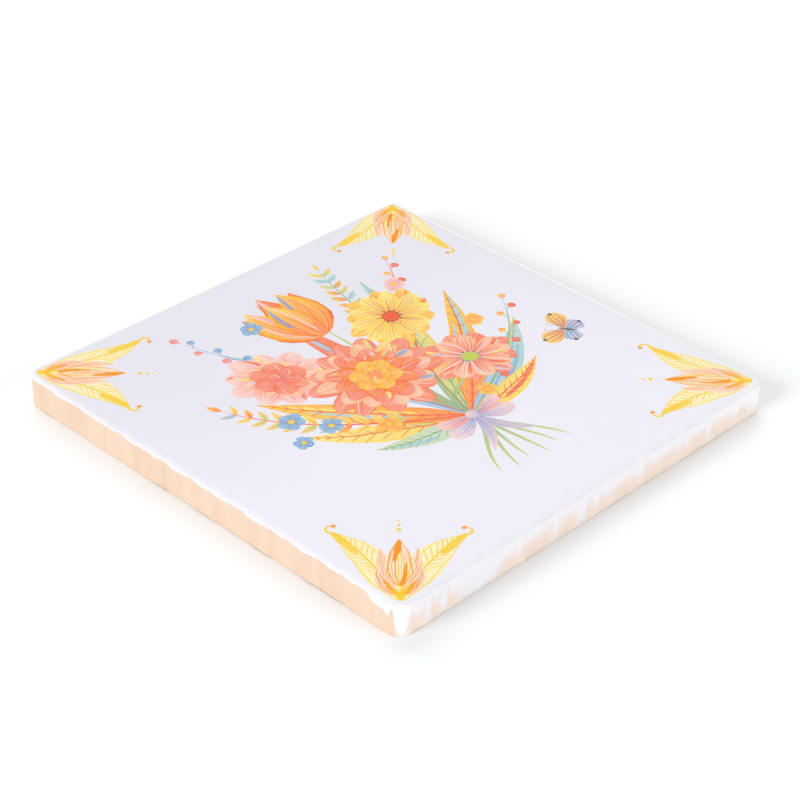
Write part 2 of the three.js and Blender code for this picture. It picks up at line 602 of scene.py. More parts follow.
@dataclass(frozen=True)
class LeafyTwig:
    """A stem with pairs of small leaves."""

    knots: tuple[Spot, ...]
    stem: Ink
    leaves: tuple[Ink, ...]
    count: int = 8
    size: float = 4.2

    def paint(self, painter: Painter) -> None:
        """Lays the stem, then each pair of leaves up to its tip.

        Args:
            painter: who lays the strokes.
        """
        painter.lay(painter.line(list(self.knots), 0.24, self.stem))
        shares = np.linspace(0.25, 1, self.count)
        points = bezier(list(self.knots), shares)
        along = np.gradient(points, axis=0)
        for i, (point, way) in enumerate(zip(points, along, strict=True)):
            heading = math.atan2(way[1], way[0])
            length = painter.vary(self.size * (1.1 - 0.45 * shares[i]), 0.1)
            leans = (0.0,) if i == self.count - 1 else (0.8, -0.8)
            for lean in leans:
                ink = self.leaves[int(painter.chance.integers(len(self.leaves)))]
                leaf = painter.petal(
                    tuple(point), heading + lean, length, length * 0.2, -lean * 0.5, ink, Form.LEAF
                )
                painter.lay(leaf, leaf.streak(0, 0.05, 0.9, 0.08, self.stem))


@dataclass(frozen=True)
class Butterfly:
    """A small butterfly seen from above."""

    middle: Spot
    heading: float
    size: float

    def paint(self, painter: Painter) -> None:
        """Lays four wings, then the body and feelers.

        Args:
            painter: who lays the strokes.
        """
        wings = (
            (0.95, 1.0, 0.34, Ink(Pigment.ORANGE, Pigment.YELLOW, 0.85, 0.9, 3)),
            (2.2, 0.72, 0.3, Ink(Pigment.SKY, Pigment.LILAC, 0.7, 0.9, 3)),
        )
        dark = Ink(Pigment.SLATE, Pigment.SLATE, 0.85, 1)
        for side in (1, -1):
            for lean, reach, width, ink in wings:
                heading = self.heading + side * lean
                length, widest = self.size * reach, self.size * width
                wing = painter.petal(self.middle, heading, length, widest, -side * 0.5, ink)
                edges = [wing.streak(across, 0.2, 0.97, 0.09, dark) for across in (-0.55, 0.0, 0.55)]
                tip = tuple(wing.axis[-3])
                painter.lay(wing, *edges, painter.dot(tip, self.size * 0.07, dark))
            shares = cosine_shares(8)
            feeler = arc(self.middle, self.heading + side * 0.3, self.size * 0.62, -side * 0.8, shares)
            painter.lay(Stroke(feeler, Form.LINE.half_widths(shares, 0.07), dark, 1.0))
            painter.lay(painter.dot(tuple(feeler[-1]), 0.16, dark))
        back = (
            self.middle[0] - 0.45 * self.size * math.cos(self.heading),
            self.middle[1] - 0.45 * self.size * math.sin(self.heading),
        )
        length, widest = self.size * 0.72, self.size * 0.06
        painter.lay(painter.petal(back, self.heading, length, widest, 0, dark, Form.LEAF))


@dataclass(frozen=True)
class CornerLily:
    """The lily that fills one corner: a pointed bud between two broad leaves with curled tips."""

    inset: float = 1.25
    leaf_length: float = 22.5
    bud_length: float = 13.0
    leaf: Ink = Ink(Pigment.STRAW, Pigment.STRAW, 0.55, 0.9, 4)
    fold: Ink = Ink(Pigment.SAFFRON, Pigment.SAFFRON, 0.95, 0.9, 4)
    vein: Ink = Ink(Pigment.SAFFRON, Pigment.SAFFRON, 0.95, 0.9)
    gold: Ink = Ink(Pigment.SAFFRON, Pigment.SAFFRON, 1.0, 0.9)
    bud: Ink = Ink(Pigment.SAFFRON, Pigment.PEACH, 0.5, 0.95, 5)
    flame: Ink = Ink(Pigment.OCHRE, Pigment.OCHRE, 1.0, 0.9)
    amber: Ink = Ink(Pigment.SAFFRON, Pigment.OCHRE, 1.0, 0.9)
    sepal: Ink = Ink(Pigment.OCHRE, Pigment.PEACH, 0.5, 0.95, 4)
    line: Ink = Ink(Pigment.OCHRE, Pigment.OCHRE, 0.9, 0.85)

    def strokes(self, painter: Painter) -> list[Stroke]:
        """The lily in the foot-left corner's quarter, growing from the origin along the diagonal.

        Args:
            painter: who lays the strokes.

        Returns:
            Its strokes, the lowest first.
        """
        found: list[Stroke] = []
        for side in (1, -1):
            found += self.side_leaf(painter, side)
        found += self.flower(painter)
        for away, size in ((14.3, 0.46), (15.3, 0.34), (16.1, 0.24)):
            found.append(painter.dot((away, away), size, self.gold))
        return found

    def side_leaf(self, painter: Painter, side: int) -> list[Stroke]:
        """One broad leaf along an edge, with a darker fold and a curled tip.

        Args:
            painter: who lays the strokes.
            side: 1 for the leaf on the diagonal's left, -1 for the other.

        Returns:
            Its strokes, the lowest first.
        """
        heading = math.pi / 4 + side * 0.56
        leaf = VeinedLeaf(
            (0.4, 0.4), heading, self.leaf_length, 3.4, side * 0.6, self.leaf, self.vein, 17
        ).strokes(painter)
        base = leaf[0]
        fold = base.streak(side * 0.3, 0.6, 0.98, 0.8, self.fold)
        blush = base.streak(-side * 0.25, 0.02, 0.36, 0.6, self.fold)
        shares = cosine_shares(16)
        curl = arc(tuple(base.axis[-2]), math.pi / 4 - side * 0.1, 3.6, -side * 3.6, shares)
        rim = [base.streak(across, 0.03, 0.97, 0.09, self.vein) for across in (-0.93, 0.93)]
        tendril = Stroke(curl, Form.LINE.half_widths(shares, 0.26), self.gold, 2.0)
        return [base, fold, blush, *leaf[1:], *rim, tendril, painter.dot(tuple(curl[-1]), 0.5, self.line)]

    def flower(self, painter: Painter) -> list[Stroke]:
        """The bud and its four narrow sepals.

        Args:
            painter: who lays the strokes.

        Returns:
            Their strokes, the lowest first.
        """
        diagonal = math.pi / 4
        base = 3.2
        found: list[Stroke] = []
        for side in (1, -1):
            low = painter.petal(
                (1.4, 1.4), diagonal + side * 0.4, 9.5, 1.2, -side * 1.1, self.sepal, Form.LEAF
            )
            high = painter.petal(
                (base, base), diagonal + side * 0.28, self.bud_length * 0.88, 1.25, -side * 0.75,
                self.sepal, Form.LEAF,
            )
            for sepal in (low, high):
                found += painter.with_streaks(sepal, [self.line], 4, 0.1)
                found.append(sepal.streak(-side * 0.3, 0.05, 0.55, 0.45, self.amber))
        bud = painter.petal((base, base), diagonal, self.bud_length, 2.6, 0, self.bud, Form.LEAF)
        found += painter.with_streaks(bud, [self.line, self.line, self.gold], 8, 0.11)
        found += [bud.streak(across, 0.02, 0.98, 0.13, self.line) for across in (-0.94, 0.94)]
        found += [bud.streak(across, begin, end, 0.42, self.flame) for across, begin, end in self.dabs()]
        return found

    @staticmethod
    def dabs() -> tuple[tuple[float, float, float], ...]:
        """Where the bud's deeper dabs lie: across it, and where they begin and end."""
        return ((-0.4, 0.05, 0.5), (0.35, 0.5, 0.93), (0.05, 0.62, 0.98))

    def paint(self, painter: Painter, half: float) -> None:
        """Lays one lily in each corner.

        Args:
            painter: who lays the strokes.
            half: half of the tile's side.
        """
        away = half - self.inset
        for x, y in ((-1, -1), (1, -1), (1, 1), (-1, 1)):
            mirror = np.diag([-x, -y]).astype(float)
            painter.lay(*(stroke.moved(mirror, (x * away, y * away)) for stroke in self.strokes(painter)))


CORAL_WASH = Ink(Pigment.CORAL, Pigment.SALMON, 0.9, 0.95, 5)
SALMON_WASH = Ink(Pigment.SALMON, Pigment.PEACH, 0.9, 0.95, 5)
FLAME_WASH = Ink(Pigment.FLAME, Pigment.ORANGE, 0.92, 0.95, 4)
ORANGE_WASH = Ink(Pigment.ORANGE, Pigment.YELLOW, 0.92, 0.95, 4)
YELLOW_WASH = Ink(Pigment.YELLOW, Pigment.LEMON, 0.9, 0.95, 4)
BLUSH_WASH = Ink(Pigment.SALMON, Pigment.BLUSH, 0.75, 0.95, 5)
PINK_WASH = Ink(Pigment.PINK, Pigment.BLUSH, 0.8, 0.95, 4)
BLUE_WASH = Ink(Pigment.BLUE, Pigment.SKY, 0.8, 0.95, 3)
SKY_WASH = Ink(Pigment.SKY, Pigment.MINT, 0.7, 0.92, 3)
LIME_WASH = Ink(Pigment.LIME, Pigment.YELLOW, 0.8, 0.92, 3)
MINT_WASH = Ink(Pigment.MINT, Pigment.LIME, 0.65, 0.9, 3)
LILAC_WASH = Ink(Pigment.LILAC, Pigment.BLUSH, 0.75, 0.95, 3)
CORAL_LINE = Ink(Pigment.CORAL, Pigment.CORAL, 0.8, 0.4)
FLAME_LINE = Ink(Pigment.FLAME, Pigment.FLAME, 0.85, 0.6)
GOLD_LINE = Ink(Pigment.YELLOW, Pigment.ORANGE, 0.9, 0.9)
PINK_LINE = Ink(Pigment.PINK, Pigment.PINK, 0.8, 0.4)
BLUE_LINE = Ink(Pigment.BLUE, Pigment.SKY, 0.75, 0.85)
GREEN_LINE = Ink(Pigment.LEAF, Pigment.LEAF, 0.8, 0.7)
PALE_LINE = Ink(Pigment.BLUSH, Pigment.PEACH, 0.4, 0.95)


@dataclass(frozen=True)
class Posy:
    """The picture in the middle: a tied posy of flowers, with a butterfly beside it."""

    tie: Spot = (1.0, -19.0)

    def paint(self, painter: Painter) -> None:
        """Lays the whole posy, from the leaves at the back to the bow at the front.

        Args:
            painter: who lays the strokes.
        """
        self.paint_leaves(painter)
        self.paint_stems(painter)
        self.paint_sprigs(painter)
        self.paint_high_blooms(painter)
        self.paint_low_blooms(painter)
        self.paint_bow(painter)
        Butterfly((36.5, -11.0), 2.2, 6.4).paint(painter)

    def paint_leaves(self, painter: Painter) -> None:
        """Lays the long leaves that stand out behind the flowers.

        Args:
            painter: who lays the strokes.
        """
        bright = (YELLOW_WASH, FLAME_WASH, SKY_WASH)
        leaves = (
            (2.62, 33, 3.0, -0.5, YELLOW_WASH, FLAME_LINE, (FLAME_WASH, LIME_WASH)),
            (2.3, 41, 3.2, -0.3, ORANGE_WASH, FLAME_LINE, bright),
            (1.98, 52, 2.7, 0.3, SKY_WASH, BLUE_LINE, (BLUE_WASH, LILAC_WASH)),
            (1.62, 57, 2.7, -0.2, CORAL_WASH, FLAME_LINE, bright),
            (1.2, 53, 3.0, 0.25, LIME_WASH, GREEN_LINE, (YELLOW_WASH, SKY_WASH)),
            (0.88, 46, 3.2, 0.35, ORANGE_WASH, FLAME_LINE, bright),
            (0.52, 37, 3.0, 0.55, SKY_WASH, BLUE_LINE, (LIME_WASH, BLUE_WASH)),
            (2.95, 22, 2.4, -0.6, MINT_WASH, GREEN_LINE, (SKY_WASH,)),
            (0.22, 25, 2.5, 0.5, YELLOW_WASH, FLAME_LINE, (LIME_WASH, FLAME_WASH)),
        )
        for heading, length, widest, turn, ink, vein, accents in leaves:
            VeinedLeaf(self.tie, heading, length, widest, turn, ink, vein, 12, accents).paint(painter)

    def paint_stems(self, painter: Painter) -> None:
        """Lays the stems, above the tie to the blooms and below it to their cut ends.

        Args:
            painter: who lays the strokes.
        """
        x, y = self.tie
        stem = Ink(Pigment.LEAF, Pigment.LIME, 0.85, 0.9, 1)
        for end in ((-14, 14), (13, 15), (2, 24), (12, -2), (-3, 6)):
            painter.lay(painter.line([(x, y), (x, y + 12), (end[0], end[1] - 12), end], 0.4, stem))
        for foot in ((-8.5, -35), (-5, -36.5), (-1.5, -35.5), (2.5, -37), (6, -35.6), (9.5, -36)):
            knots = [(x, y), (x + 0.1 * foot[0], y - 6), (foot[0] * 0.8, foot[1] + 7), foot]
            painter.lay(painter.line(knots, 0.42, stem))

    def paint_sprigs(self, painter: Painter) -> None:
        """Lays the berries and twigs that reach past the blooms.

        Args:
            painter: who lays the strokes.
        """
        x, y = self.tie
        berries = (
            Ink(Pigment.CORAL, Pigment.FLAME, 0.9, 0.95, 1),
            Ink(Pigment.YELLOW, Pigment.ORANGE, 0.9, 0.95, 1),
        )
        blue_berries = (
            Ink(Pigment.BLUE, Pigment.SKY, 0.8, 0.95, 1),
            Ink(Pigment.PINK, Pigment.CORAL, 0.8, 0.95, 1),
        )
        BerrySprig(((x, y), (8, 8), (22, 18), (30, 32)), FLAME_LINE, berries, 12).paint(painter)
        BerrySprig(((x, y), (-8, 8), (-18, 22), (-22, 37)), BLUE_LINE, blue_berries, 12).paint(painter)
        BerrySprig(((x, y), (16, -12), (27, -8), (36, 5)), GREEN_LINE, berries, 10).paint(painter)
        twig = (YELLOW_WASH, LIME_WASH, ORANGE_WASH, SKY_WASH)
        LeafyTwig(((x, y), (-14, -10), (-27, 0), (-32, 14)), FLAME_LINE, twig, 12, 4.8).paint(painter)
        LeafyTwig(((x, y), (12, 14), (12, 26), (17, 39)), GREEN_LINE, twig, 13, 4.8).paint(painter)

    def paint_high_blooms(self, painter: Painter) -> None:
        """Lays the blooms at the top and the sides of the posy.

        Args:
            painter: who lays the strokes.
        """
        bright = (YELLOW_WASH, FLAME_WASH, PINK_WASH, BLUE_WASH)
        lines = (GOLD_LINE, FLAME_LINE, CORAL_LINE)
        Tulip((0.5, 20), 1.66, 19, FLAME_WASH, ORANGE_WASH, (*lines, PALE_LINE), bright).paint(painter)
        Blossom(View((-8.5, 31.5), 0.3, 0.85), 2.6, BLUE_WASH).paint(painter)
        Blossom(View((24.5, 24.5), 0.9, 0.8), 2.8, PINK_WASH).paint(painter)
        OpenBloom(
            View((15, 16), 0.5, 0.84), 11, 10, ORANGE_WASH, YELLOW_WASH,
            (GOLD_LINE, FLAME_LINE, PINK_LINE), (FLAME_WASH, LIME_WASH, YELLOW_WASH),
            Pigment.FLAME, Pigment.SLATE,
        ).paint(painter)
        Rosette(
            View((-16.5, 14.5), 2.4, 0.88), 11, (BLUSH_WASH, PINK_WASH, SALMON_WASH, CORAL_WASH),
            (PINK_LINE, CORAL_LINE, PALE_LINE), (LILAC_WASH, YELLOW_WASH, CORAL_WASH), (10, 9, 8, 6, 5, 3),
        ).paint(painter)

    def paint_low_blooms(self, painter: Painter) -> None:
        """Lays the blooms at the front of the posy.

        Args:
            painter: who lays the strokes.
        """
        for spot, radius in (((-25, 2.5), 3.0), ((-20.5, -3.5), 2.7), ((-28, -4.0), 2.3)):
            Blossom(View(spot, 0.4, 0.85), radius, BLUE_WASH).paint(painter)
        OpenBloom(
            View((15.5, -5.0), 2.9, 0.84), 10, 9, CORAL_WASH, SALMON_WASH,
            (CORAL_LINE, FLAME_LINE, PALE_LINE), (FLAME_WASH, YELLOW_WASH, PINK_WASH, LILAC_WASH),
            Pigment.LIME, Pigment.BLUE,
        ).paint(painter)
        Rosette(
            View((-2.5, 3.0), 0.2, 0.92), 14,
            (CORAL_WASH, SALMON_WASH, CORAL_WASH, FLAME_WASH, ORANGE_WASH),
            (CORAL_LINE, FLAME_LINE, PALE_LINE, GOLD_LINE),
            (YELLOW_WASH, FLAME_WASH, BLUE_WASH, PINK_WASH, LIME_WASH),
            (13, 12, 10, 8, 6, 4),
        ).paint(painter)
        for spot, radius in (((26, 4.0), 2.6), ((-12.5, -10.5), 2.9), ((9.5, -15.0), 2.2)):
            Blossom(View(spot, 0.4, 0.85), radius, ORANGE_WASH).paint(painter)

    def paint_bow(self, painter: Painter) -> None:
        """Lays the ribbon: two loops, two tails and the knot.

        Args:
            painter: who lays the strokes.
        """
        x, y = self.tie
        for side in (1, -1):
            heading = QUARTER - side * QUARTER
            down = side * 0.5 - QUARTER
            tail = painter.petal((x, y), down, 13, 1.1, side * 0.8, LILAC_WASH, Form.FLAME)
            loop_low = painter.petal((x, y), heading - side * 0.28, 9, 2.1, side * 0.9, LILAC_WASH)
            loop_high = painter.petal((x, y), heading + side * 0.22, 8.5, 1.6, side * 0.7, PINK_WASH)
            painter.lay(*painter.with_streaks(tail, [BLUE_LINE], 3, 0.1))
            painter.lay(*painter.with_streaks(loop_low, [BLUE_LINE], 4, 0.1))
            painter.lay(*painter.with_streaks(loop_high, [BLUE_LINE, PINK_LINE], 4, 0.1))
        painter.lay(painter.dot((x, y), 1.4, LILAC_WASH))


# The tile


@dataclass(frozen=True)
class Outline:
    """The tile's plan: a square whose corners are rounded by different amounts."""

    side: float
    radii: tuple[float, ...] = (3.0, 1.8, 1.2, 2.8)
    signs: tuple[tuple[int, int], ...] = ((-1, -1), (1, -1), (1, 1), (-1, 1))

    @property
    def half(self) -> float:
        """Half of the side."""
        return self.side / 2

    def gap(self, points: Points) -> np.ndarray:
        """How far points lie inside the outline.

        Args:
            points: places on the tile's face.

        Returns:
            One distance for each point, below 0 outside.
        """
        x, y = points.T
        gap = self.half - np.maximum(abs(x), abs(y))
        for (sx, sy), radius in zip(self.signs, self.radii, strict=True):
            dx, dy = sx * x - (self.half - radius), sy * y - (self.half - radius)
            gap = np.where((dx > 0) & (dy > 0), radius - np.hypot(dx, dy), gap)
        return gap

    def pulled_in(self, points: Points, margin: float) -> Points:
        """A closed line, moved to a margin inside the outline and begun at its innermost point.

        Args:
            points: places on the tile's face.
            margin: the least gap to the outline.

        Returns:
            The moved line.
        """
        reach = self.half - margin
        found = np.clip(points, -reach, reach)
        for (sx, sy), radius in zip(self.signs, self.radii, strict=True):
            middle = np.array((sx, sy)) * (self.half - radius)
            away = found - middle
            far = np.hypot(away[:, 0], away[:, 1])
            limit = max(radius - margin, 0.1)
            outside = (away[:, 0] * sx > 0) & (away[:, 1] * sy > 0) & (far > limit)
            found[outside] = (middle + away * (limit / np.maximum(far, 1e-9))[:, None])[outside]
        return np.roll(found, -int(self.gap(found).argmax()), axis=0)

    def walk(self, points: Points) -> tuple[np.ndarray, Points]:
        """Finds where points of the outline lie along it and which way they face.

        Args:
            points: places on the outline.

        Returns:
            Places counted in sides, anticlockwise from the foot's left corner, and unit normals.
        """
        x, y = points.T
        half = self.half
        nearest = np.argmin(np.c_[half + y, half - x, half - y, half + x], axis=1)
        travelled = np.choose(nearest, [half + x, half + y, half - x, half - y])
        place = nearest + travelled / self.side
        angle = (nearest - 1.0) * QUARTER
        slack = 1e-4
        for index, ((sx, sy), radius) in enumerate(zip(self.signs, self.radii, strict=True)):
            cx, cy = sx * (half - radius), sy * (half - radius)
            inside = (sx * (x - cx) > -slack) & (sy * (y - cy) > -slack)
            start = (index - 2) * QUARTER
            turned = (np.arctan2(y - cy, x - cx) - start + slack) % (2 * math.pi) - slack
            share = turned / QUARTER
            place[inside] = (index + radius / self.side * (2 * share - 1))[inside]
            angle[inside] = (start + turned)[inside]
        return place % SIDE_COUNT, np.c_[np.cos(angle), np.sin(angle)]


@dataclass(frozen=True)
class Run:
    """One tongue of glaze: its place in sides, half its width as a share of a side, and its reach."""

    at: float
    half: float
    reach: float


def wander(place: np.ndarray, waves: Waves) -> np.ndarray:
    """A wavy line round the tile, as the sum of waves that each have a count, a size and a lag."""
    turn = place / SIDE_COUNT * 2 * math.pi
    return sum(size * np.sin(count * turn + lag) for count, size, lag in waves)


def smooth(value: np.ndarray, low: float, high: float) -> np.ndarray:
    """Rises smoothly from 0 at the low value to 1 at the high one."""
    share = np.clip((value - low) / (high - low), 0, 1)
    return share * share * (3 - 2 * share)


@dataclass(frozen=True)
class GlazeEdge:
    """Where the glaze stops on the tile's sides, the same as on the solid, with finer ripples."""

    side: float
    thickness: float
    proud: float = 0.18
    foot_proud: float = 0.14
    swell: float = 0.5
    foot_swell: float = 1.3
    levels: tuple[float, ...] = (0.49, 0.87, 0.86, 0.89)
    blend: float = 0.02
    lowest: float = 0.25
    foot_ragged: float = 2.1
    waves: Waves = ((37, 0.02, 0.0), (61, 0.018, 1.9), (97, 0.01, 4.3))
    fine_waves: Waves = (
        (71, 0.06, 5.2), (143, 0.06, 0.7), (229, 0.05, 2.2), (331, 0.03, 5.1), (467, 0.03, 1.4),
    )
    runs: tuple[Run, ...] = (
        Run(0.006, 0.02, 0), Run(0.069, 0.009, 0), Run(0.108, 0.01, 0), Run(0.196, 0.06, 0),
        Run(0.299, 0.011, 0.27), Run(0.394, 0.009, 0.06), Run(0.464, 0.016, 0), Run(0.506, 0.009, 0.26),
        Run(0.54, 0.014, 0.33), Run(0.632, 0.012, 0.34), Run(0.765, 0.009, 0.35), Run(0.832, 0.01, 0.2),
        Run(0.915, 0.014, 0.26), Run(0.975, 0.024, 0.16), Run(1.3, 0.014, 0.7), Run(1.72, 0.02, 0.62),
        Run(2.24, 0.018, 0.66), Run(2.8, 0.012, 0.72), Run(3.95, 0.026, 0.68), Run(3.968, 0.007, 0.56),
    )

    def foot(self, place: np.ndarray) -> np.ndarray:
        """Height of the glaze's lower edge above the back, in millimetres.

        Args:
            place: places along the outline, counted in sides.

        Returns:
            One height for each place.
        """
        side = np.floor(place).astype(int) % SIDE_COUNT
        nearest = np.round(place).astype(int)
        levels = np.array(self.levels)
        before, after = levels[(nearest - 1) % SIDE_COUNT], levels[nearest % SIDE_COUNT]
        past = (place - nearest + 2) % SIDE_COUNT - 2
        turned = before + (after - before) * smooth(past, -self.blend, self.blend)
        lip = np.where(abs(past) > self.blend, levels[side], turned) + wander(place, self.waves)
        drop = np.zeros_like(place)
        for run in self.runs:
            away = (place - run.at + 2) % SIDE_COUNT - 2
            drop = np.maximum(drop, (lip - run.reach) * np.exp(-((away / run.half) ** 4)))
        ragged = np.where(self.on_foot(place), self.foot_ragged, 1.0) * wander(place, self.fine_waves)
        return np.maximum(self.lowest, (lip - drop) * self.thickness + ragged)

    @staticmethod
    def haze(facing: np.ndarray) -> np.ndarray:
        """How much the glaze has run, from how far an edge faces the foot."""
        return smooth(facing, 0.3, 0.9)

    @staticmethod
    def on_foot(place: np.ndarray) -> np.ndarray:
        """Whether places are on the foot side."""
        return (place < 1) | (place > SIDE_COUNT - 0.01)

    def depth(self, place: np.ndarray, height: np.ndarray) -> np.ndarray:
        """How far points on a side lie inside the glaze, in millimetres, below 0 on bare clay.

        Args:
            place: places along the outline, counted in sides.
            height: heights above the back.

        Returns:
            One depth for each point.
        """
        step = 0.0015
        slope = (self.foot(place + step) - self.foot(place - step)) / (2 * step * self.side)
        return (height - self.foot(place)) / np.sqrt(1 + slope**2)

    def cover(self, place: np.ndarray, depth: np.ndarray) -> tuple[np.ndarray, np.ndarray]:
        """How the glaze thins out towards its edge.

        Args:
            place: places along the outline.
            depth: how far they lie inside the glaze.

        Returns:
            The share of its full thickness that it has there, and how far it falls short of that.
        """
        foot = self.on_foot(place)
        near = np.clip(depth / np.where(foot, self.foot_swell, self.swell), 0, 1)
        share = np.where(foot, smooth(near, 0, 1), np.sqrt(1 - (1 - near) ** 2))
        return share, np.where(foot, self.foot_proud, self.proud) * (1 - share)


@dataclass(frozen=True)
class Sheet:
    """The flat map of the tile's surface, from 0 to 1 each way: map units for each millimetre."""

    name: str = "OFBake"
    border: float = 0.004
    face_scale: float = 0.0076
    back_scale: float = 0.0022
    strips_at: float = 0.775
    strip_pitch: float = 0.054

    def places(self, spots: Points, normals: Points, half: float) -> tuple[Points, Points, Points]:
        """Where points come on the map.

        Args:
            spots: the points, in millimetres.
            normals: which way their faces point.
            half: half of the tile's side.

        Returns:
            Their places as points of the face, of the sides and of the back.
        """
        x, y, z = spots.T
        face = (spots[:, :2] + half) * self.face_scale + self.border
        side = np.argmax(normals[:, [1, 0, 1, 0]] * (-1, 1, 1, -1), axis=1)
        along = np.choose(side, [x, y, -x, -y]) + half
        over = self.strips_at + self.strip_pitch * side + z * self.face_scale
        strip = np.c_[over, along * self.face_scale + self.border]
        small = (spots[:, :2] + half) * self.back_scale + (self.border, self.strips_at)
        return face, strip, small


@dataclass
class TileBody:
    """The tile's one closed mesh: its edge, its painted face and its keyed back."""

    low: Vector
    high: Vector
    corner_segments: int = 10
    coarse_columns: int = 21
    foot_split: int = 13
    plain_split: int = 8
    bevel_rings: int = 2
    side_rings: int = 18
    roll_rings: int = 8
    back_bevel: float = 0.25
    roll_width: float = 0.95
    roll_height: float = 0.75
    roll_power: float = 0.8
    paint_margin: float = 1.3
    edge_wave: float = 0.2
    key_count: int = 6
    key_width: float = 4.0
    key_depth: float = 0.5
    key_margin: float = 12.0
    grid_step: float = 1.7
    least_seen: float = 0.02
    weld_within: float = 0.002
    shortest: float = 0.0001
    smooth_below: float = 42.0
    face_swell: float = 0.025
    rim_fall: float = 0.16
    rim_reach: float = 1.3
    mark_depth: float = 0.05
    mark_waves: Waves = ((113, 0.5, 0.3), (197, 0.5, 1.7), (271, 0.4, 4.0), (29, 0.6, 2.0))
    wear_depth: float = 0.09
    wear_height: float = 0.7
    wear_waves: Waves = ((67, 0.6, 3.0), (149, 0.5, 1.2))
    roll_waves: Waves = ((37, 0.4, 5.0), (61, 0.4, 6.9), (97, 0.2, 9.3))
    chip_edge: float = 0.02
    chip_depth: float = 0.25
    chip_height: float = 0.2
    chips: tuple[tuple[float, float], ...] = (
        (3.384, 0.035), (3.468, 0.038), (3.58, 0.036), (0.27, 0.03), (0.64, 0.02), (1.4, 0.03),
        (2.7, 0.03),
    )
    rim_steps: tuple[float, ...] = (0.25, 0.6, 1.1, 1.8, 2.6)
    sheet: Sheet = Sheet()
    thickness: float = field(init=False)
    outline: Outline = field(init=False)
    edge: GlazeEdge = field(init=False)

    def __post_init__(self) -> None:
        """Takes the plan and the thickness from the solid's box."""
        self.thickness = (self.high.z - self.low.z) / MM
        self.outline = Outline((self.high.x - self.low.x) / MM)
        self.edge = GlazeEdge(self.outline.side, self.thickness)

    @property
    def rings(self) -> int:
        """How many steps the edge takes from the back to the face."""
        return self.bevel_rings + self.side_rings + self.roll_rings

    def crown(self, points: Points) -> np.ndarray:
        """Height of the glazed face, which is gently uneven.

        Args:
            points: places on the tile's face.

        Returns:
            One height for each point.
        """
        x, y = points.T
        swell = np.sin(x / 13 + 0.6) * np.sin(y / 17 + 1.1) + 0.6 * np.sin(x / 7.1 - y / 9.3 + 2)
        fall = self.rim_fall * np.exp(-self.outline.gap(points) / self.rim_reach)
        return self.thickness - self.face_swell * (1.6 - swell) - fall

    def blank(self) -> bpy.types.Object:
        """Models the slab with its round corners and enough rings and columns for the edge.

        Returns:
            The slab's side wall, open above and below.
        """
        side, height = self.outline.side * MM, self.thickness * MM
        bpy.ops.mesh.primitive_cube_add(size=1, location=(0, 0, height / 2), scale=(side, side, height))
        wall = bpy.context.object
        wall.name = wall.data.name = "glazed_tile"
        bpy.ops.object.transform_apply(location=True, rotation=True, scale=True)
        bpy.ops.object.mode_set(mode="EDIT")
        self.round_corners(wall)
        select_edges(wall, upright)
        bpy.ops.mesh.subdivide(number_cuts=self.rings - 1)
        self.add_columns(wall)
        select_faces(wall, lambda face: len(face.verts) > 4)
        bpy.ops.mesh.delete(type="ONLY_FACE")
        bpy.ops.object.mode_set(mode="OBJECT")
        return wall

    def round_corners(self, wall: bpy.types.Object) -> None:
        """Rounds the slab's upright edges, each by its own radius.

        Args:
            wall: the slab, in edit mode.
        """
        for (sx, sy), radius in zip(self.outline.signs, self.outline.radii, strict=True):
            corner = Vector((sx, sy)) * self.outline.half * MM
            select_edges(wall, lambda a, b: upright(a, b) and (a.xy - corner).length < MM)
            bpy.ops.mesh.bevel(offset=radius * MM, segments=self.corner_segments, affect="EDGES")

    def add_columns(self, wall: bpy.types.Object) -> None:
        """Splits the level edges of the four sides, in two goes, most finely on the foot side.

        Args:
            wall: the slab, in edit mode.
        """
        away = self.outline.half * MM
        for index, (x, y) in enumerate(((0, -1), (1, 0), (0, 1), (-1, 0))):
            facing = Vector((x, y))
            for pieces in (self.coarse_columns, self.plain_split if index else self.foot_split):
                select_edges(wall, lambda a, b: on_side(a, b, facing, away))
                bpy.ops.mesh.subdivide(number_cuts=pieces - 1)

    def ring_shape(self, ring: np.ndarray) -> tuple[np.ndarray, np.ndarray, np.ndarray]:
        """The edge's plain section.

        Args:
            ring: number of each point's ring, from the back.

        Returns:
            Distance inwards from the side, height, and how far round the top roll, from 0 to 1.
        """
        bevel = np.clip(ring / self.bevel_rings, 0, 1) * QUARTER
        up = np.clip((ring - self.bevel_rings) / self.side_rings, 0, 1)
        roll = np.clip((ring - self.bevel_rings - self.side_rings) / self.roll_rings, 0, 1)
        rise = self.thickness - self.roll_height - self.back_bevel
        inwards = self.back_bevel * (1 - np.sin(bevel))
        inwards = inwards + self.roll_width * (1 - np.cos(roll * QUARTER).clip(0) ** self.roll_power)
        height = self.back_bevel * (1 - np.cos(bevel)) + rise * up
        return inwards, height, roll

    def clay_relief(self, place: np.ndarray, height: np.ndarray) -> np.ndarray:
        """How far the bare clay of the sides is worn back: tool marks, small hollows and chips.

        Args:
            place: places along the outline, counted in sides.
            height: heights above the back.

        Returns:
            One depth for each point.
        """
        marks = self.mark_depth * (1 + wander(place, self.mark_waves))
        worn = self.wear_depth * (1 + wander(place, self.wear_waves)) * np.exp(-height / self.wear_height)
        chipped = sum(smooth(half - abs(place - at), 0, self.chip_edge) for at, half in self.chips)
        return marks + worn + self.chip_depth * chipped * np.exp(-((height / self.chip_height) ** 2))

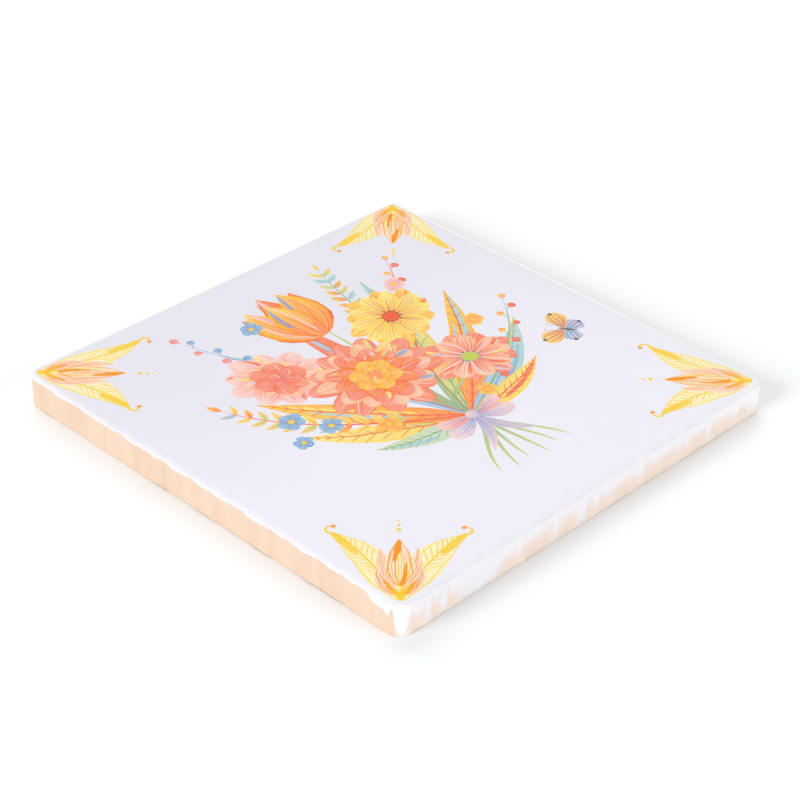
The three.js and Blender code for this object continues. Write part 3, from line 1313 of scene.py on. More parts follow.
    def shape_wall(self, wall: bpy.types.Object) -> None:
        """Moves the blank's points out to the glaze, back to the clay and over the roll.

        Args:
            wall: the blank's side wall.
        """
        spots = read(wall.data.vertices, "co", 3) / MM
        place, normals = self.outline.walk(spots[:, :2])
        ring = np.round(spots[:, 2] / self.thickness * self.rings)
        inwards, height, roll = self.ring_shape(ring)
        depth = self.edge.depth(place, height + (self.roll_height + self.roll_width) * roll)
        cover, thinned = self.edge.cover(place, depth)
        inset = inwards + thinned + (1 - cover) * self.clay_relief(place, height)
        ripple = 0.5 + 0.5 * wander(place, self.roll_waves)
        inset = inset + self.edge_wave * ripple * np.sin(roll * QUARTER)
        spots[:, :2] -= normals * inset[:, None]
        top = self.crown(spots[:, :2])
        shoulder = self.thickness - self.roll_height
        risen = shoulder + (top - shoulder) * np.sin(roll * QUARTER).clip(0) ** self.roll_power
        spots[:, 2] = np.where(roll > 0, risen, height)
        wall.data.vertices.foreach_set("co", (spots * MM).ravel())
        set_attribute(wall.data, Layer.DEPTH, np.clip(depth, -3, 3))
        set_attribute(wall.data, Layer.RIM, inset)
        set_attribute(wall.data, Layer.HAZE, self.edge.haze(-normals[:, 1]))
        Painting.leave_bare(wall.data)
        wall.data.update()

    def loop(self, wall: bpy.types.Object, ring: int) -> Points:
        """The points of one open edge of the wall, in order, in millimetres.

        Args:
            wall: the shaped wall.
            ring: 0 for the lower edge, or the last ring's number for the upper one.

        Returns:
            Their places, anticlockwise.
        """
        mesh = bmesh.new()
        mesh.from_mesh(wall.data)
        middle = self.thickness * MM / 2
        found = [
            vert for vert in mesh.verts
            if any(edge.is_boundary for edge in vert.link_edges) and (vert.co.z > middle) == (ring > 0)
        ]
        spots = np.array([vert.co for vert in found]) / MM
        mesh.free()
        return spots[np.argsort(np.arctan2(spots[:, 1], spots[:, 0]))]

    def outlines(self, strokes: list[Stroke]) -> list[Points]:
        """The strokes' outlines, kept clear of the rim."""
        return [self.outline.pulled_in(stroke.outline(), self.paint_margin) for stroke in strokes]

    def on_show(self, rim: Points, strokes: list[Stroke]) -> list[Stroke]:
        """Leaves out the strokes that others hide.

        Args:
            rim: the wall's upper edge.
            strokes: the painting, the lowest stroke first.

        Returns:
            The strokes of which something can be seen.
        """
        spots, faces, owners = triangulate(rim[:, :2], self.outlines(strokes), np.empty((0, 2)))
        topmost = np.array([max(owner, default=0) for owner in owners])
        first, second = (spots[faces[:, i]] - spots[faces[:, 0]] for i in (1, 2))
        sizes = abs(first[:, 0] * second[:, 1] - first[:, 1] * second[:, 0]) / 2
        seen = np.bincount(topmost, sizes, len(strokes) + 1)[1:]
        shown = [stroke for stroke, size in zip(strokes, seen, strict=True) if size > self.least_seen]
        log.info("painting: %d of %d strokes are on show", len(shown), len(strokes))
        return shown

    def face(self, rim: Points, strokes: list[Stroke]) -> bpy.types.Object:
        """Makes the glazed face: a fine skin that is split along the outline of every stroke.

        Args:
            rim: the wall's upper edge.
            strokes: the painting, the lowest stroke first.

        Returns:
            The face, with the painting in its attributes.
        """
        reach = self.outline.half - self.roll_width - 3
        steps = np.linspace(-reach, reach, round(2 * reach / self.grid_step))
        grid = [(x, y) for x in steps for y in steps]
        for away in self.rim_steps:
            shrunk = 1 - away / self.outline.half
            grid += [tuple(point) for point in rim[::3, :2] * shrunk]
        grid = np.array(grid)
        strokes = self.on_show(rim, strokes)
        spots, faces, owners = triangulate(rim[:, :2], self.outlines(strokes), grid)
        skin = np.c_[spots, self.crown(spots)] * MM
        mesh = bpy.data.meshes.new("glazed_face")
        mesh.from_pydata(skin.tolist(), [], faces.tolist())
        set_attribute(mesh, Layer.DEPTH, np.full(len(spots), 3.0))
        set_attribute(mesh, Layer.RIM, self.outline.gap(spots))
        aside, above = self.outline.half - abs(spots[:, 0]), self.outline.half + spots[:, 1]
        set_attribute(mesh, Layer.HAZE, self.edge.haze(aside / np.hypot(aside, above)))
        Painting(spots, faces, owners, strokes).store(mesh)
        return link(mesh)

    def key_outlines(self) -> list[Points]:
        """Outlines of the shallow keys in the back.

        Returns:
            One closed line for each key.
        """
        pitch = (self.outline.side - 2 * self.key_margin) / self.key_count
        reach = self.outline.half - self.key_margin - self.key_width / 2
        angles = np.linspace(0, math.pi, 9)
        cap = np.c_[np.cos(angles), np.sin(angles)] * self.key_width / 2
        one = np.r_[cap + (0, reach), -cap - (0, reach)]
        return [one + ((i - (self.key_count - 1) / 2) * pitch, 0) for i in range(self.key_count)]

    def back(self, rim: Points) -> bpy.types.Object:
        """Makes the back, facing down, with its keys pushed in.

        Args:
            rim: the wall's lower edge.

        Returns:
            The back.
        """
        spots, faces, owners = triangulate(rim[:, :2], self.key_outlines(), np.empty((0, 2)))
        in_key = [len(owner) > 1 for owner in owners]
        mesh = bpy.data.meshes.new("clay_back")
        mesh.from_pydata((np.c_[spots, np.zeros(len(spots))] * MM).tolist(), [], faces[:, ::-1].tolist())
        set_attribute(mesh, Layer.DEPTH, np.full(len(spots), -3.0))
        set_attribute(mesh, Layer.RIM, self.outline.gap(spots))
        set_attribute(mesh, Layer.HAZE, np.zeros(len(spots)))
        Painting.leave_bare(mesh)
        back = link(mesh)
        only(back)
        bpy.ops.object.mode_set(mode="EDIT")
        select_faces(back, lambda face: in_key[face.index])
        bpy.ops.mesh.extrude_region_move(TRANSFORM_OT_translate={"value": (0, 0, self.key_depth * MM)})
        bpy.ops.object.mode_set(mode="OBJECT")
        return back

    def build(self, strokes: list[Stroke]) -> bpy.types.Object:
        """Models the tile and joins its wall, face and back into one closed mesh.

        Args:
            strokes: the painting.

        Returns:
            The finished piece.
        """
        deselect()
        wall = self.blank()
        self.shape_wall(wall)
        upper, lower = self.loop(wall, self.rings), self.loop(wall, 0)
        face = self.face(upper, strokes)
        back = self.back(lower)
        only(wall)
        face.select_set(True)
        back.select_set(True)
        bpy.ops.object.join()
        self.close(wall)
        self.unwrap(wall)
        bpy.ops.object.shade_smooth_by_angle(angle=math.radians(self.smooth_below))
        return wall

    def close(self, tile: bpy.types.Object) -> None:
        """Welds the joined parts along their open edges and takes out triangles of no size.

        Args:
            tile: the joined parts.
        """
        bpy.ops.object.mode_set(mode="EDIT")
        bpy.ops.mesh.select_mode(type="VERT")
        bpy.ops.mesh.select_all(action="DESELECT")
        bpy.ops.mesh.select_non_manifold()
        bpy.ops.mesh.remove_doubles(threshold=self.weld_within * MM)
        mesh = bmesh.from_edit_mesh(tile.data)
        bmesh.ops.dissolve_degenerate(mesh, dist=self.shortest * MM, edges=mesh.edges[:])
        bmesh.update_edit_mesh(tile.data)
        bpy.ops.object.mode_set(mode="OBJECT")

    def unwrap(self, tile: bpy.types.Object) -> None:
        """Lays out the map: the face large, the sides in strips beside it, the back small.

        Args:
            tile: the closed mesh.
        """
        mesh = tile.data
        spots = read(mesh.vertices, "co", 3) / MM
        corner = read(mesh.loops, "vertex_index", 1, int).ravel()
        sizes = read(mesh.polygons, "loop_total", 1, int).ravel()
        owner = np.repeat(np.arange(len(sizes)), sizes)
        normal = read(mesh.polygons, "normal", 3)[owner]
        height = read(mesh.polygons, "center", 3)[owner, 2] / MM
        up = height > self.thickness - self.roll_height - 0.01
        down = ~up & ((normal[:, 2] < -0.9) | (height < 0.001))
        face, strip, small = self.sheet.places(spots[corner], normal, self.outline.half)
        uv = np.where(up[:, None], face, np.where(down[:, None], small, strip))
        layer = mesh.uv_layers.new(name=self.sheet.name)
        layer.data.foreach_set("uv", uv.ravel())


class Layer(Enum):
    """Names of the mesh attributes that the finishes read."""

    DEPTH = "glaze_depth"
    RIM = "rim_distance"
    HAZE = "glaze_haze"
    UNDER = "paint_under"
    ROOT = "paint_root"
    TIP = "paint_tip"
    STROKE = "paint_stroke"


@dataclass(frozen=True)
class Painting:
    """The strokes as colours on the corners of the face's triangles."""

    spots: Points
    faces: np.ndarray
    owners: list[list[int]]
    strokes: list[Stroke]

    def store(self, mesh: bpy.types.Mesh) -> None:
        """Writes what lies under each triangle's topmost stroke, and that stroke's own tints.

        Args:
            mesh: the face's mesh, whose corners come in the triangles' order.
        """
        corners = len(self.faces) * 3
        clear, places = np.ones((corners, 3)), np.zeros((corners, 3))
        root, tip = np.zeros((corners, 4)), np.zeros((corners, 4))
        members, topmost = self.holders()
        for number, (stroke, found) in enumerate(zip(self.strokes, members, strict=True)):
            if not found:
                continue
            triangles = np.unique(found)
            at = (triangles[:, None] * 3 + np.arange(3)).ravel()
            along, across = stroke.locate(self.spots[self.faces[triangles].ravel()])
            ink = stroke.ink
            clear[at] = clear[at] + (1 - clear[at]) * ink.hides
            is_top = np.repeat(topmost[triangles] == number, 3)
            top, low = at[is_top], at[~is_top]
            root[top] = (*ink.root.linear, ink.strength)
            tip[top] = (*ink.tip.linear, ink.lines)
            places[top] = np.c_[along, across, np.full(len(at), stroke.seed)][is_top]
            tint = ink.root.linear + (ink.tip.linear - ink.root.linear) * along[~is_top, None]
            clear[low] *= 1 - ink.strength * (1 - tint)
        self.write(mesh, np.c_[1 - clear, np.zeros(corners)], root, tip, places)

    def holders(self) -> tuple[list[list[int]], np.ndarray]:
        """Finds which triangles each stroke covers.

        Returns:
            Triangles for each stroke, and each triangle's topmost stroke, or -1 where there is none.
        """
        members: list[list[int]] = [[] for _ in self.strokes]
        topmost = np.full(len(self.faces), -1)
        for index, owner in enumerate(self.owners):
            topmost[index] = max(owner, default=0) - 1
            for number in owner:
                if number:
                    members[number - 1].append(index)
        return members, topmost

    @classmethod
    def leave_bare(cls, mesh: bpy.types.Mesh) -> None:
        """Gives an unpainted mesh the same attributes, all of them empty."""
        blank = np.zeros((len(mesh.loops), 4))
        cls.write(mesh, blank, blank, blank, blank[:, :3])

    @staticmethod
    def write(
        mesh: bpy.types.Mesh, under: np.ndarray, root: np.ndarray, tip: np.ndarray, at: np.ndarray
    ) -> None:
        """Stores the painting's colours and places on a mesh's corners.

        Args:
            mesh: the mesh.
            under: the light that lower strokes take away.
            root: the topmost stroke's tint at its root, with its strength.
            tip: its tint at its tip, with its lines.
            at: where each corner lies on that stroke, with its seed.
        """
        for layer, values in ((Layer.UNDER, under), (Layer.ROOT, root), (Layer.TIP, tip)):
            made = mesh.attributes.new(layer.value, "FLOAT_COLOR", "CORNER")
            made.data.foreach_set("color", values.ravel())
        made = mesh.attributes.new(Layer.STROKE.value, "FLOAT_VECTOR", "CORNER")
        made.data.foreach_set("vector", at.ravel())


def triangulate(
    rim: Points, outlines: list[Points], grid: Points
) -> tuple[Points, np.ndarray, list[list[int]]]:
    """Splits a region into triangles along every outline that is drawn in it.

    Args:
        rim: the region's edge, anticlockwise.
        outlines: closed outlines inside it, anticlockwise.
        grid: further points to use.

    Returns:
        Points, triangles, and the outlines that each triangle is in, where 0 is the rim.
    """
    points = [tuple(point) for point in rim]
    faces = [list(range(len(rim)))]
    for outline in outlines:
        faces.append(list(range(len(points), len(points) + len(outline))))
        points.extend(tuple(point) for point in outline)
    points.extend(tuple(point) for point in grid)
    inside_constraints = 1
    spots, _, triangles, _, _, owners = delaunay_2d_cdt(points, [], faces, inside_constraints, 1e-4, True)
    inside = [index for index, owner in enumerate(owners) if 0 in owner]
    found = np.array([tuple(spot) for spot in spots])
    return found, np.array(triangles)[inside], [owners[index] for index in inside]


def read(
    collection: bpy.types.bpy_prop_collection, name: str, width: int, kind: type = float
) -> np.ndarray:
    """Reads a property of every item in a collection.

    Args:
        collection: the items.
        name: the property.
        width: how many numbers it has.
        kind: what they are.

    Returns:
        One row for each item.
    """
    values = np.empty(len(collection) * width, kind)
    collection.foreach_get(name, values)
    return values.reshape(-1, width)


def set_attribute(mesh: bpy.types.Mesh, layer: Layer, values: np.ndarray) -> None:
    """Stores one number for each of a mesh's points."""
    made = mesh.attributes.new(layer.value, "FLOAT", "POINT")
    made.data.foreach_set("value", values.astype(np.float32))


def deselect() -> None:
    """Deselects every object."""
    bpy.ops.object.select_all(action="DESELECT")


def only(piece: bpy.types.Object) -> None:
    """Makes one object the selected and active one.

    Args:
        piece: the object.
    """
    deselect()
    piece.select_set(True)
    bpy.context.view_layer.objects.active = piece


def link(mesh: bpy.types.Mesh) -> bpy.types.Object:
    """Puts a mesh into the scene as an object of its own.

    Args:
        mesh: the mesh.

    Returns:
        The object.
    """
    piece = bpy.data.objects.new(mesh.name, mesh)
    bpy.context.collection.objects.link(piece)
    return piece


def upright(a: Vector, b: Vector) -> bool:
    """Whether an edge between two points stands upright."""
    return abs(a.z - b.z) > MM * 0.01 and (a.xy - b.xy).length < MM * 0.01


def on_side(a: Vector, b: Vector, facing: Vector, away: float) -> bool:
    """Whether an edge is a level one on the flat of the side that faces one way."""
    level = abs(a.z - b.z) < MM * 0.001 and (a - b).length > MM
    return level and all(abs(end.xy.dot(facing) - away) < MM * 0.01 for end in (a, b))


def select_edges(piece: bpy.types.Object, wanted: Callable[[Vector, Vector], bool]) -> None:
    """Selects the edges that are wanted, and nothing else.

    Args:
        piece: the object, in edit mode.
        wanted: says it of an edge by its two ends.
    """
    bpy.ops.mesh.select_mode(type="EDGE")
    bpy.ops.mesh.select_all(action="DESELECT")
    mesh = bmesh.from_edit_mesh(piece.data)
    for edge in mesh.edges:
        if wanted(edge.verts[0].co, edge.verts[1].co):
            edge.select_set(True)
    bmesh.update_edit_mesh(piece.data)


def select_faces(piece: bpy.types.Object, wanted: Callable[[bmesh.types.BMFace], bool]) -> None:
    """Selects the faces that are wanted, and nothing else.

    Args:
        piece: the object, in edit mode.
        wanted: says it of a face.
    """
    bpy.ops.mesh.select_mode(type="FACE")
    bpy.ops.mesh.select_all(action="DESELECT")
    mesh = bmesh.from_edit_mesh(piece.data)
    for face in mesh.faces:
        if wanted(face):
            face.select_set(True)
    bmesh.update_edit_mesh(piece.data)


# Finishes


class Wire:
    """A shader value that can be used in sums."""

    def __init__(self, shader: "Shader", socket: bpy.types.NodeSocket) -> None:
        """Wraps an output socket of one shader."""
        self.shader = shader
        self.socket = socket

    def __add__(self, other: "Wire | float") -> "Wire":
        """The sum."""
        return self.shader.maths("ADD", self, other)

    def __radd__(self, other: float) -> "Wire":
        """The sum, with the number first."""
        return self.shader.maths("ADD", other, self)

    def __sub__(self, other: "Wire | float") -> "Wire":
        """The difference."""
        return self.shader.maths("SUBTRACT", self, other)

    def __rsub__(self, other: float) -> "Wire":
        """The difference, with the number first."""
        return self.shader.maths("SUBTRACT", other, self)

    def __mul__(self, other: "Wire | float") -> "Wire":
        """The product."""
        return self.shader.maths("MULTIPLY", self, other)

    def __rmul__(self, other: float) -> "Wire":
        """The product, with the number first."""
        return self.shader.maths("MULTIPLY", other, self)

    def step(self, low: float, high: float) -> "Wire":
        """Rises smoothly from 0 at the low value to 1 at the high one.

        Args:
            low: the value that gives 0.
            high: the value that gives 1.

        Returns:
            The share, from 0 to 1.
        """
        inputs = {"Value": self, "From Min": low, "From Max": high}
        settings = {"interpolation_type": "SMOOTHSTEP"}
        return self.shader.value("ShaderNodeMapRange", settings, inputs, "Result")

    def size(self) -> "Wire":
        """The value without its sign."""
        return self.shader.maths("ABSOLUTE", self)

    def fraction(self) -> "Wire":
        """What is left over the whole number below."""
        return self.shader.maths("FRACT", self)


Input = Wire | bpy.types.NodeSocket | float | tuple[float, ...]


class Shader:
    """A material's node tree, built one node at a time."""

    def __init__(self, name: str) -> None:
        """Starts a material that holds one surface shader.

        Args:
            name: the material's name.
        """
        self.material = bpy.data.materials.new(name)
        self.material.use_nodes = True
        self.tree = self.material.node_tree
        self.surface = self.tree.nodes["Principled BSDF"]
        self.position = self.node("ShaderNodeTexCoord", {}, {}).outputs["Object"]

    def node(self, kind: str, settings: dict[str, str], inputs: dict[str | int, Input]) -> bpy.types.Node:
        """Adds a node.

        Args:
            kind: its type.
            settings: its properties, set before its sockets.
            inputs: what goes into its sockets, by name or number.

        Returns:
            The node.
        """
        made = self.tree.nodes.new(kind)
        for name, setting in settings.items():
            setattr(made, name, setting)
        for name, given in inputs.items():
            self.feed(made.inputs[name], given)
        return made

    def feed(self, socket: bpy.types.NodeSocket, given: Input) -> None:
        """Links an output to a socket, or sets the socket's own value.

        Args:
            socket: the socket to fill.
            given: an output, a number or a colour.
        """
        if isinstance(given, Wire):
            given = given.socket
        if isinstance(given, bpy.types.NodeSocket):
            self.tree.links.new(given, socket)
        else:
            socket.default_value = given

    def value(
        self, kind: str, settings: dict[str, str], inputs: dict[str | int, Input], output: str
    ) -> Wire:
        """Adds a node and wraps one of its outputs."""
        return Wire(self, self.node(kind, settings, inputs).outputs[output])

    def maths(self, operation: str, *operands: Input) -> Wire:
        """Adds a Math node."""
        return self.value("ShaderNodeMath", {"operation": operation}, dict(enumerate(operands)), "Value")

    def mix(self, share: Input, first: Input, second: Input, blend: str = "MIX") -> bpy.types.NodeSocket:
        """Mixes two colours by a share."""
        settings = {"data_type": "RGBA", "blend_type": blend}
        return self.node("ShaderNodeMix", settings, {0: share, 6: first, 7: second}).outputs[2]

    def noise(
        self, scale: float, detail: float = 2, roughness: float = 0.5,
        where: bpy.types.NodeSocket | None = None,
    ) -> Wire:
        """Adds a noise texture, on the piece's own coordinates unless told otherwise.

        Args:
            scale: how fine it is.
            detail: its octaves.
            roughness: how strong the finer ones are.
            where: its coordinates.

        Returns:
            The noise, from 0 to 1.
        """
        place = where or self.position
        inputs = {"Vector": place, "Scale": scale, "Detail": detail, "Roughness": roughness}
        return self.value("ShaderNodeTexNoise", {}, inputs, "Fac")

    def stretched(self, x: float, y: float, z: float) -> bpy.types.NodeSocket:
        """The piece's own coordinates, scaled along each axis."""
        inputs = {"Vector": self.position, "Scale": (x, y, z)}
        return self.node("ShaderNodeMapping", {}, inputs).outputs["Vector"]

    def vector(self, x: Input, y: Input, z: Input) -> bpy.types.NodeSocket:
        """A vector from three values."""
        return self.node("ShaderNodeCombineXYZ", {}, {0: x, 1: y, 2: z}).outputs[0]

    def axes(self, vector: bpy.types.NodeSocket) -> list[Wire]:
        """The three numbers of a vector."""
        return [Wire(self, output) for output in self.node("ShaderNodeSeparateXYZ", {}, {0: vector}).outputs]

    def attribute(self, layer: Layer) -> bpy.types.Node:
        """Reads a mesh attribute."""
        return self.node("ShaderNodeAttribute", {"attribute_name": layer.value}, {})


def tone(red: float, green: float, blue: float) -> tuple[float, float, float, float]:
    """A colour of light, with full alpha."""
    return (red, green, blue, 1.0)


@dataclass(frozen=True)
class TinGlaze:
    """The white glaze: lavender on the face, partly as a painted reflection, whiter where it has run down a
    side, pink where thin, with painted shade on its far side and rolled edge and a painted highlight on its
    far rims.
    """

    # The face's lavender is partly a painted reflection of a cool surround.
    body: tuple[float, ...] = tone(0.81, 0.80, 0.875)
    # Painted shade: the face's glaze is darker towards its far side.
    far_painted_shade: tuple[float, ...] = tone(0.755, 0.74, 0.81)
    # Painted shade: the rolled edge and the side walls away from the foot are darker, against the light that
    # falls on them.
    rolled_painted_shade: tuple[float, ...] = tone(0.745, 0.74, 0.765)
    run: tuple[float, ...] = tone(0.91, 0.892, 0.92)
    # Painted highlight along the rim near the far corner.
    rim_highlight: tuple[float, ...] = tone(0.98, 0.96, 0.92)
    thin: tuple[float, ...] = tone(0.94, 0.815, 0.775)
    roughness: float = 0.09

    def colour(self, shader: Shader, depth: Wire, rim: Wire, haze: Wire) -> bpy.types.NodeSocket:
        """The glaze's colour without its painting.

        Args:
            shader: the material's nodes.
            depth: how far inside the glaze a point lies, in millimetres.
            rim: its distance from the rim, in millimetres.
            haze: how much the glaze has run there.

        Returns:
            The colour.
        """
        x, y, _ = shader.axes(shader.position)
        # Painted shade: the face darkens towards its far side, along a wavering boundary.
        shade = (y + 40 * MM * (shader.noise(28, 1) - 0.5)).step(-25 * MM, 50 * MM)
        body = shader.mix(shade, self.body, self.far_painted_shade)
        # Towards the rim the glaze turns to the painted shade of the rolled edge, or to the whiter run on
        # the foot side.
        edge = 1 - (rim + (0.6 + 0.2 * haze) * (shader.noise(140, 2) - 0.5)).step(-0.1, 0.75)
        white = shader.mix(edge, body, shader.mix(haze, self.rolled_painted_shade, self.run))
        # Painted highlight: a bright line along the rim, towards the far corner.
        rim_highlight = (x + y).step(-20 * MM, 40 * MM) * (1 - rim.step(0.85, 1.25))
        white = shader.mix(rim_highlight, white, self.rim_highlight)
        mottle = shader.noise(330, 5, 0.65)
        thin = (1 - (depth + 4.5 * (mottle - 0.5)).step(-0.4, 2.2)) * (0.2 + 0.8 * haze)
        return shader.mix(0.85 * thin, white, self.thin)


@dataclass(frozen=True)
class BareClay:
    """Fired earthenware: peach, faintly streaked across the edge, with a fine grain, and lifted by painted
    light near the floor.
    """

    pale: tuple[float, ...] = tone(0.715, 0.555, 0.437)
    deep: tuple[float, ...] = tone(0.655, 0.478, 0.35)
    hazy: tuple[float, ...] = tone(0.935, 0.765, 0.67)
    # Painted light: near the floor the clay is lifted to these tones, against the shade there.
    hazy_painted_lift: tuple[float, ...] = tone(0.99, 0.848, 0.75)
    clay_painted_lift: tuple[float, ...] = tone(1.05, 1.028, 0.996)
    roughness: float = 0.85

    def colour(self, shader: Shader, depth: Wire, haze: Wire) -> bpy.types.NodeSocket:
        """The clay's colour, paler where a breath of glaze lies on it, and paler near the floor as painted
        light.

        Args:
            shader: the material's nodes.
            depth: how far inside the glaze a point lies, in millimetres.
            haze: how much the glaze has run there.

        Returns:
            The colour.
        """
        streak = shader.noise(330, 2, 0.5, shader.stretched(1, 1, 0.08))
        broad = shader.noise(70, 2)
        grain = shader.noise(2600, 2)
        # Paler and warmer towards the bottom: painted light against the shade near the floor.
        low = 1 - shader.axes(shader.position)[2].step(0, 4 * MM)
        share = (streak - 0.5) * 1.4 + (broad - 0.5) * 1.3 + (grain - 0.5) * 0.4 + 0.3
        clay = shader.mix(share.step(0, 1), self.pale, self.deep)
        clay = shader.mix(low, clay, self.clay_painted_lift, "MULTIPLY")
        cloud = shader.noise(500, 4, 0.6)
        breath = (depth + 5 * (cloud - 0.5)).step(-8.5, -0.2) * haze
        return shader.mix(0.95 * breath, clay, shader.mix(low, self.hazy, self.hazy_painted_lift))

    def relief(self, shader: Shader) -> Wire:
        """The height of its grain and pits."""
        return shader.noise(1700, 4, 0.65) + 0.6 * shader.noise(330, 2, 0.5, shader.stretched(1, 1, 0.08))


@dataclass(frozen=True)
class Brushwork:
    """How the strokes look: tints that blend in strands, pencil lines, darker rims and a fine grain."""

    rim_gain: float = 0.22
    line_gain: float = 0.6
    body: tuple[float, ...] = tone(0.94, 0.93, 0.92)

    def apply(self, shader: Shader, ground: bpy.types.NodeSocket) -> bpy.types.NodeSocket:
        """Paints over a ground.

        Args:
            shader: the material's nodes.
            ground: the colour beneath.

        Returns:
            The painted colour.
        """
        white = tone(1, 1, 1)
        under = shader.attribute(Layer.UNDER).outputs["Color"]
        root, tip = shader.attribute(Layer.ROOT), shader.attribute(Layer.TIP)
        along, across, seed = shader.axes(shader.attribute(Layer.STROKE).outputs["Vector"])
        strength = Wire(shader, root.outputs["Alpha"])
        lines = Wire(shader, tip.outputs["Alpha"])
        strand_at = shader.vector(along * 1.6 + seed, across * 4.5, seed)
        strand = shader.noise(1.0, 3, 0.6, strand_at)
        blend = (along * 1.15 - 0.1 + (strand - 0.5) * 1.2).step(0, 1)
        tinted = shader.mix(blend, root.outputs["Color"], tip.outputs["Color"])
        waver = shader.noise(1.0, 1, 0.5, shader.vector(along * 3 + seed, across * 0.6, seed + 9))
        phase = (across * lines + waver * 1.4 + seed).fraction()
        drawn = ((phase - 0.5).size() * 2).step(0.62, 0.98) * strand.step(0.36, 0.6) * lines.step(0.2, 1)
        grain = shader.noise(3000, 3, 0.7)
        rim = across.size().step(0.72, 1.0)
        worn = 0.35 * (phase - 0.5).size() * lines.step(0.2, 1)
        amount = strength * (1.02 + 0.4 * (strand - 0.5) + self.rim_gain * rim - 0.5 * (grain - 0.5) - worn)
        washed = shader.mix(amount, white, tinted)
        pencilled = shader.mix(self.line_gain * drawn * strength, washed, tinted, "MULTIPLY")
        cleared = shader.node("ShaderNodeInvert", {}, {"Fac": 1.0, "Color": under}).outputs[0]
        ink = shader.mix(1.0, pencilled, cleared, "MULTIPLY")
        return shader.mix(1.0, ink, self.paper(shader, ground, ink), "MULTIPLY")

    def paper(
        self, shader: Shader, ground: bpy.types.NodeSocket, ink: bpy.types.NodeSocket
    ) -> bpy.types.NodeSocket:
        """The ground, which the body of the paint makes brighter under full colours.

        Args:
            shader: the material's nodes.
            ground: the colour beneath.
            ink: the light that the paint lets through.

        Returns:
            The colour.
        """
        split = shader.node("ShaderNodeSeparateColor", {}, {0: ink})
        red, green, blue = (Wire(shader, output) for output in split.outputs)
        least = shader.maths("MINIMUM", shader.maths("MINIMUM", red, green), blue)
        return shader.mix((1 - least).step(0.02, 0.35), ground, self.body)


@dataclass(frozen=True)
class GlazedEarthenware:
    """The tile's one material: clay, glaze and painting, each where the mesh says it is."""

    glaze: TinGlaze = TinGlaze()
    clay: BareClay = BareClay()
    paint: Brushwork = Brushwork()
    # The tone of the dark line along the bottom of the edge.
    bottom_dark_tone: tuple[float, ...] = tone(0.3, 0.26, 0.22)

    def bottom_darkening(self, shader: Shader, haze: Wire) -> Wire:
        """How much of the dark line shows that lies, in stretches, along the foot of the edge.

        Args:
            shader: the material's nodes.
            haze: how much the glaze has run there.

        Returns:
            Its share, from 0 to 1.
        """
        height = shader.axes(shader.position)[2]
        stretches = shader.noise(75, 1, 0.5, shader.stretched(1, 1, 0)).step(0.53, 0.6)
        low = (1 - height.step(0.1 * MM, 0.34 * MM)) * height.step(0, 0.01 * MM)
        return 0.85 * stretches * low * (1 - 0.75 * haze)

    def material(self) -> bpy.types.Material:
        """Builds the material.

        Returns:
            The material.
        """
        shader = Shader("glazed earthenware")
        depth = Wire(shader, shader.attribute(Layer.DEPTH).outputs["Fac"])
        rim = Wire(shader, shader.attribute(Layer.RIM).outputs["Fac"])
        haze = Wire(shader, shader.attribute(Layer.HAZE).outputs["Fac"])
        ragged = shader.noise(600, 5, 0.62)
        soft = 0.06 + 0.54 * haze
        glazed = (depth + (0.3 + 3.0 * haze) * (ragged - 0.5)).step(0 - soft, soft)
        white = self.paint.apply(shader, self.glaze.colour(shader, depth, rim, haze))
        clean = shader.mix(glazed, self.clay.colour(shader, depth, haze), white)
        # Darker in stretches along the bottom of the edge.
        base = shader.mix(self.bottom_darkening(shader, haze), clean, self.bottom_dark_tone)
        rough = self.clay.roughness + glazed * (self.glaze.roughness - self.clay.roughness)
        peel = 0.3 * shader.noise(240, 2)
        height = self.clay.relief(shader) * (1 - glazed) + peel * glazed
        inputs = {"Strength": 0.25, "Distance": 0.12 * MM, "Height": height}
        bump = shader.node("ShaderNodeBump", {}, inputs)
        shader.feed(shader.surface.inputs["Base Color"], base)
        shader.feed(shader.surface.inputs["Roughness"], rough)
        shader.feed(shader.surface.inputs["Normal"], bump.outputs["Normal"])
        return shader.material


# Studio


@dataclass(frozen=True)
class Lamp:
    """A broad, far lamp: where it shines from, its irradiance, and its width in degrees."""

    name: str
    towards: tuple[float, float, float]
    strength: float
    width: float
    glossy: bool = True

    def build(self) -> None:
        """Adds the lamp to the scene."""
        data = bpy.data.lights.new(self.name, "SUN")
        data.angle = math.radians(self.width)
        data.energy = self.strength
        lamp = bpy.data.objects.new(self.name, data)
        lamp.rotation_euler = Vector(self.towards).to_track_quat("Z", "Y").to_euler()
        lamp.visible_glossy = self.glossy
        bpy.context.scene.collection.objects.link(lamp)


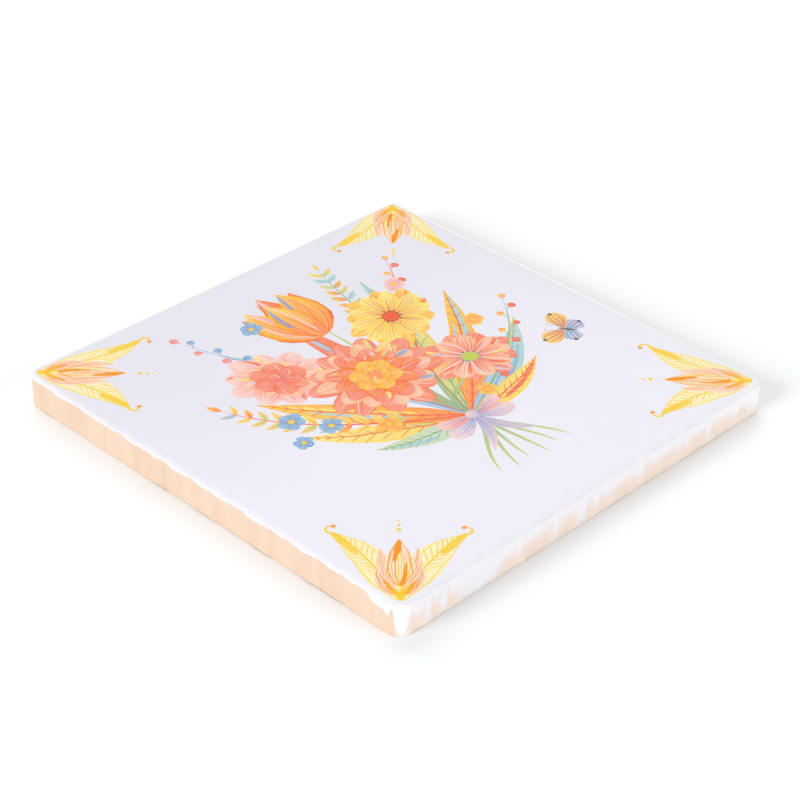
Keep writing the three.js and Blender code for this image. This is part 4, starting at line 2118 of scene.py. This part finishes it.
@dataclass(frozen=True)
class Studio:
    """The floor, the lights and the camera, in millimetres."""

    floor_size: float = 6000.0
    floor_low: tuple[float, ...] = tone(0.93, 0.955, 0.97)
    floor_high: tuple[float, ...] = tone(0.94, 0.965, 0.98)
    sky_strength: float = 0.46
    lamps: tuple[Lamp, ...] = (
        Lamp("key", (-0.915, 0.07, 0.4), 2.13, 29),
        Lamp("fill", (0.27, -0.915, 0.3), 0.91, 40),
        Lamp("back", (0.395, 0.685, 0.61), 1.52, 66, glossy=False),
    )
    camera_at: tuple[float, float, float] = (-256.1, -243.75, 235.5)
    camera_right: tuple[float, float, float] = (0.69796, -0.71579, 0.02216)
    camera_up: tuple[float, float, float] = (0.38229, 0.39858, 0.83366)
    lens: float = 99.3
    sensor: float = 36.0

    def build(self) -> None:
        """Sets up the whole studio."""
        self.floor()
        self.sky()
        for lamp in self.lamps:
            lamp.build()
        self.camera()

    def floor(self) -> None:
        """Adds the pale floor under the tile."""
        bpy.ops.mesh.primitive_plane_add(size=self.floor_size * MM, location=(0, 0, 0))
        floor = bpy.context.object
        floor.name = "floor"
        shader = Shader("pale floor")
        colour = shader.mix(shader.noise(3, 2), self.floor_low, self.floor_high)
        shader.feed(shader.surface.inputs["Base Color"], colour)
        shader.feed(shader.surface.inputs["Roughness"], 0.9)
        floor.data.materials.append(shader.material)

    def sky(self) -> None:
        """Fills the room with even white light."""
        world = bpy.data.worlds.new("studio")
        world.use_nodes = True
        backdrop = world.node_tree.nodes["Background"]
        backdrop.inputs["Color"].default_value = tone(1, 1, 1)
        backdrop.inputs["Strength"].default_value = self.sky_strength
        bpy.context.scene.world = world
        bpy.context.scene.view_settings.view_transform = "Standard"

    def camera(self) -> None:
        """Adds the camera at the photograph's place."""
        data = bpy.data.cameras.new("camera")
        data.lens = self.lens
        data.sensor_width = self.sensor
        camera = bpy.data.objects.new("camera", data)
        right, up = Vector(self.camera_right).normalized(), Vector(self.camera_up)
        back = right.cross(up).normalized()
        up = back.cross(right)
        turn = Matrix((right, up, back)).transposed().to_4x4()
        camera.matrix_world = Matrix.Translation(Vector(self.camera_at) * MM) @ turn
        bpy.context.scene.collection.objects.link(camera)
        bpy.context.scene.camera = camera


def paint_picture(half: float) -> list[Stroke]:
    """Draws the whole painting.

    Args:
        half: half of the tile's side.

    Returns:
        Its strokes, the lowest first.
    """
    painter = Painter(seed=11)
    Posy().paint(painter)
    CornerLily().paint(painter, half)
    speck = Ink(Pigment.SLATE, Pigment.SLATE, 0.6, 0)
    painter.lay(*(painter.dot(spot, 0.13, speck) for spot in ((-22.5, 38.4), (-4.8, -47.3), (7.6, -38.9))))
    return painter.strokes


def main() -> None:
    """Builds the studio and the tile."""
    logging.basicConfig(level=logging.INFO, format="%(name)s: %(message)s")
    Studio().build()
    low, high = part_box("tile")
    body = TileBody(low, high)
    strokes = paint_picture(body.outline.half)
    log.info("painting: %d strokes", len(strokes))
    tile = body.build(strokes)
    tile.data.materials.clear()
    tile.data.materials.append(GlazedEarthenware().material())
    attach(tile, "root")
    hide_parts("tile")
    log.info("glazed_tile: %d points, %d faces", len(tile.data.vertices), len(tile.data.polygons))


if __name__ == "__main__":
    main()
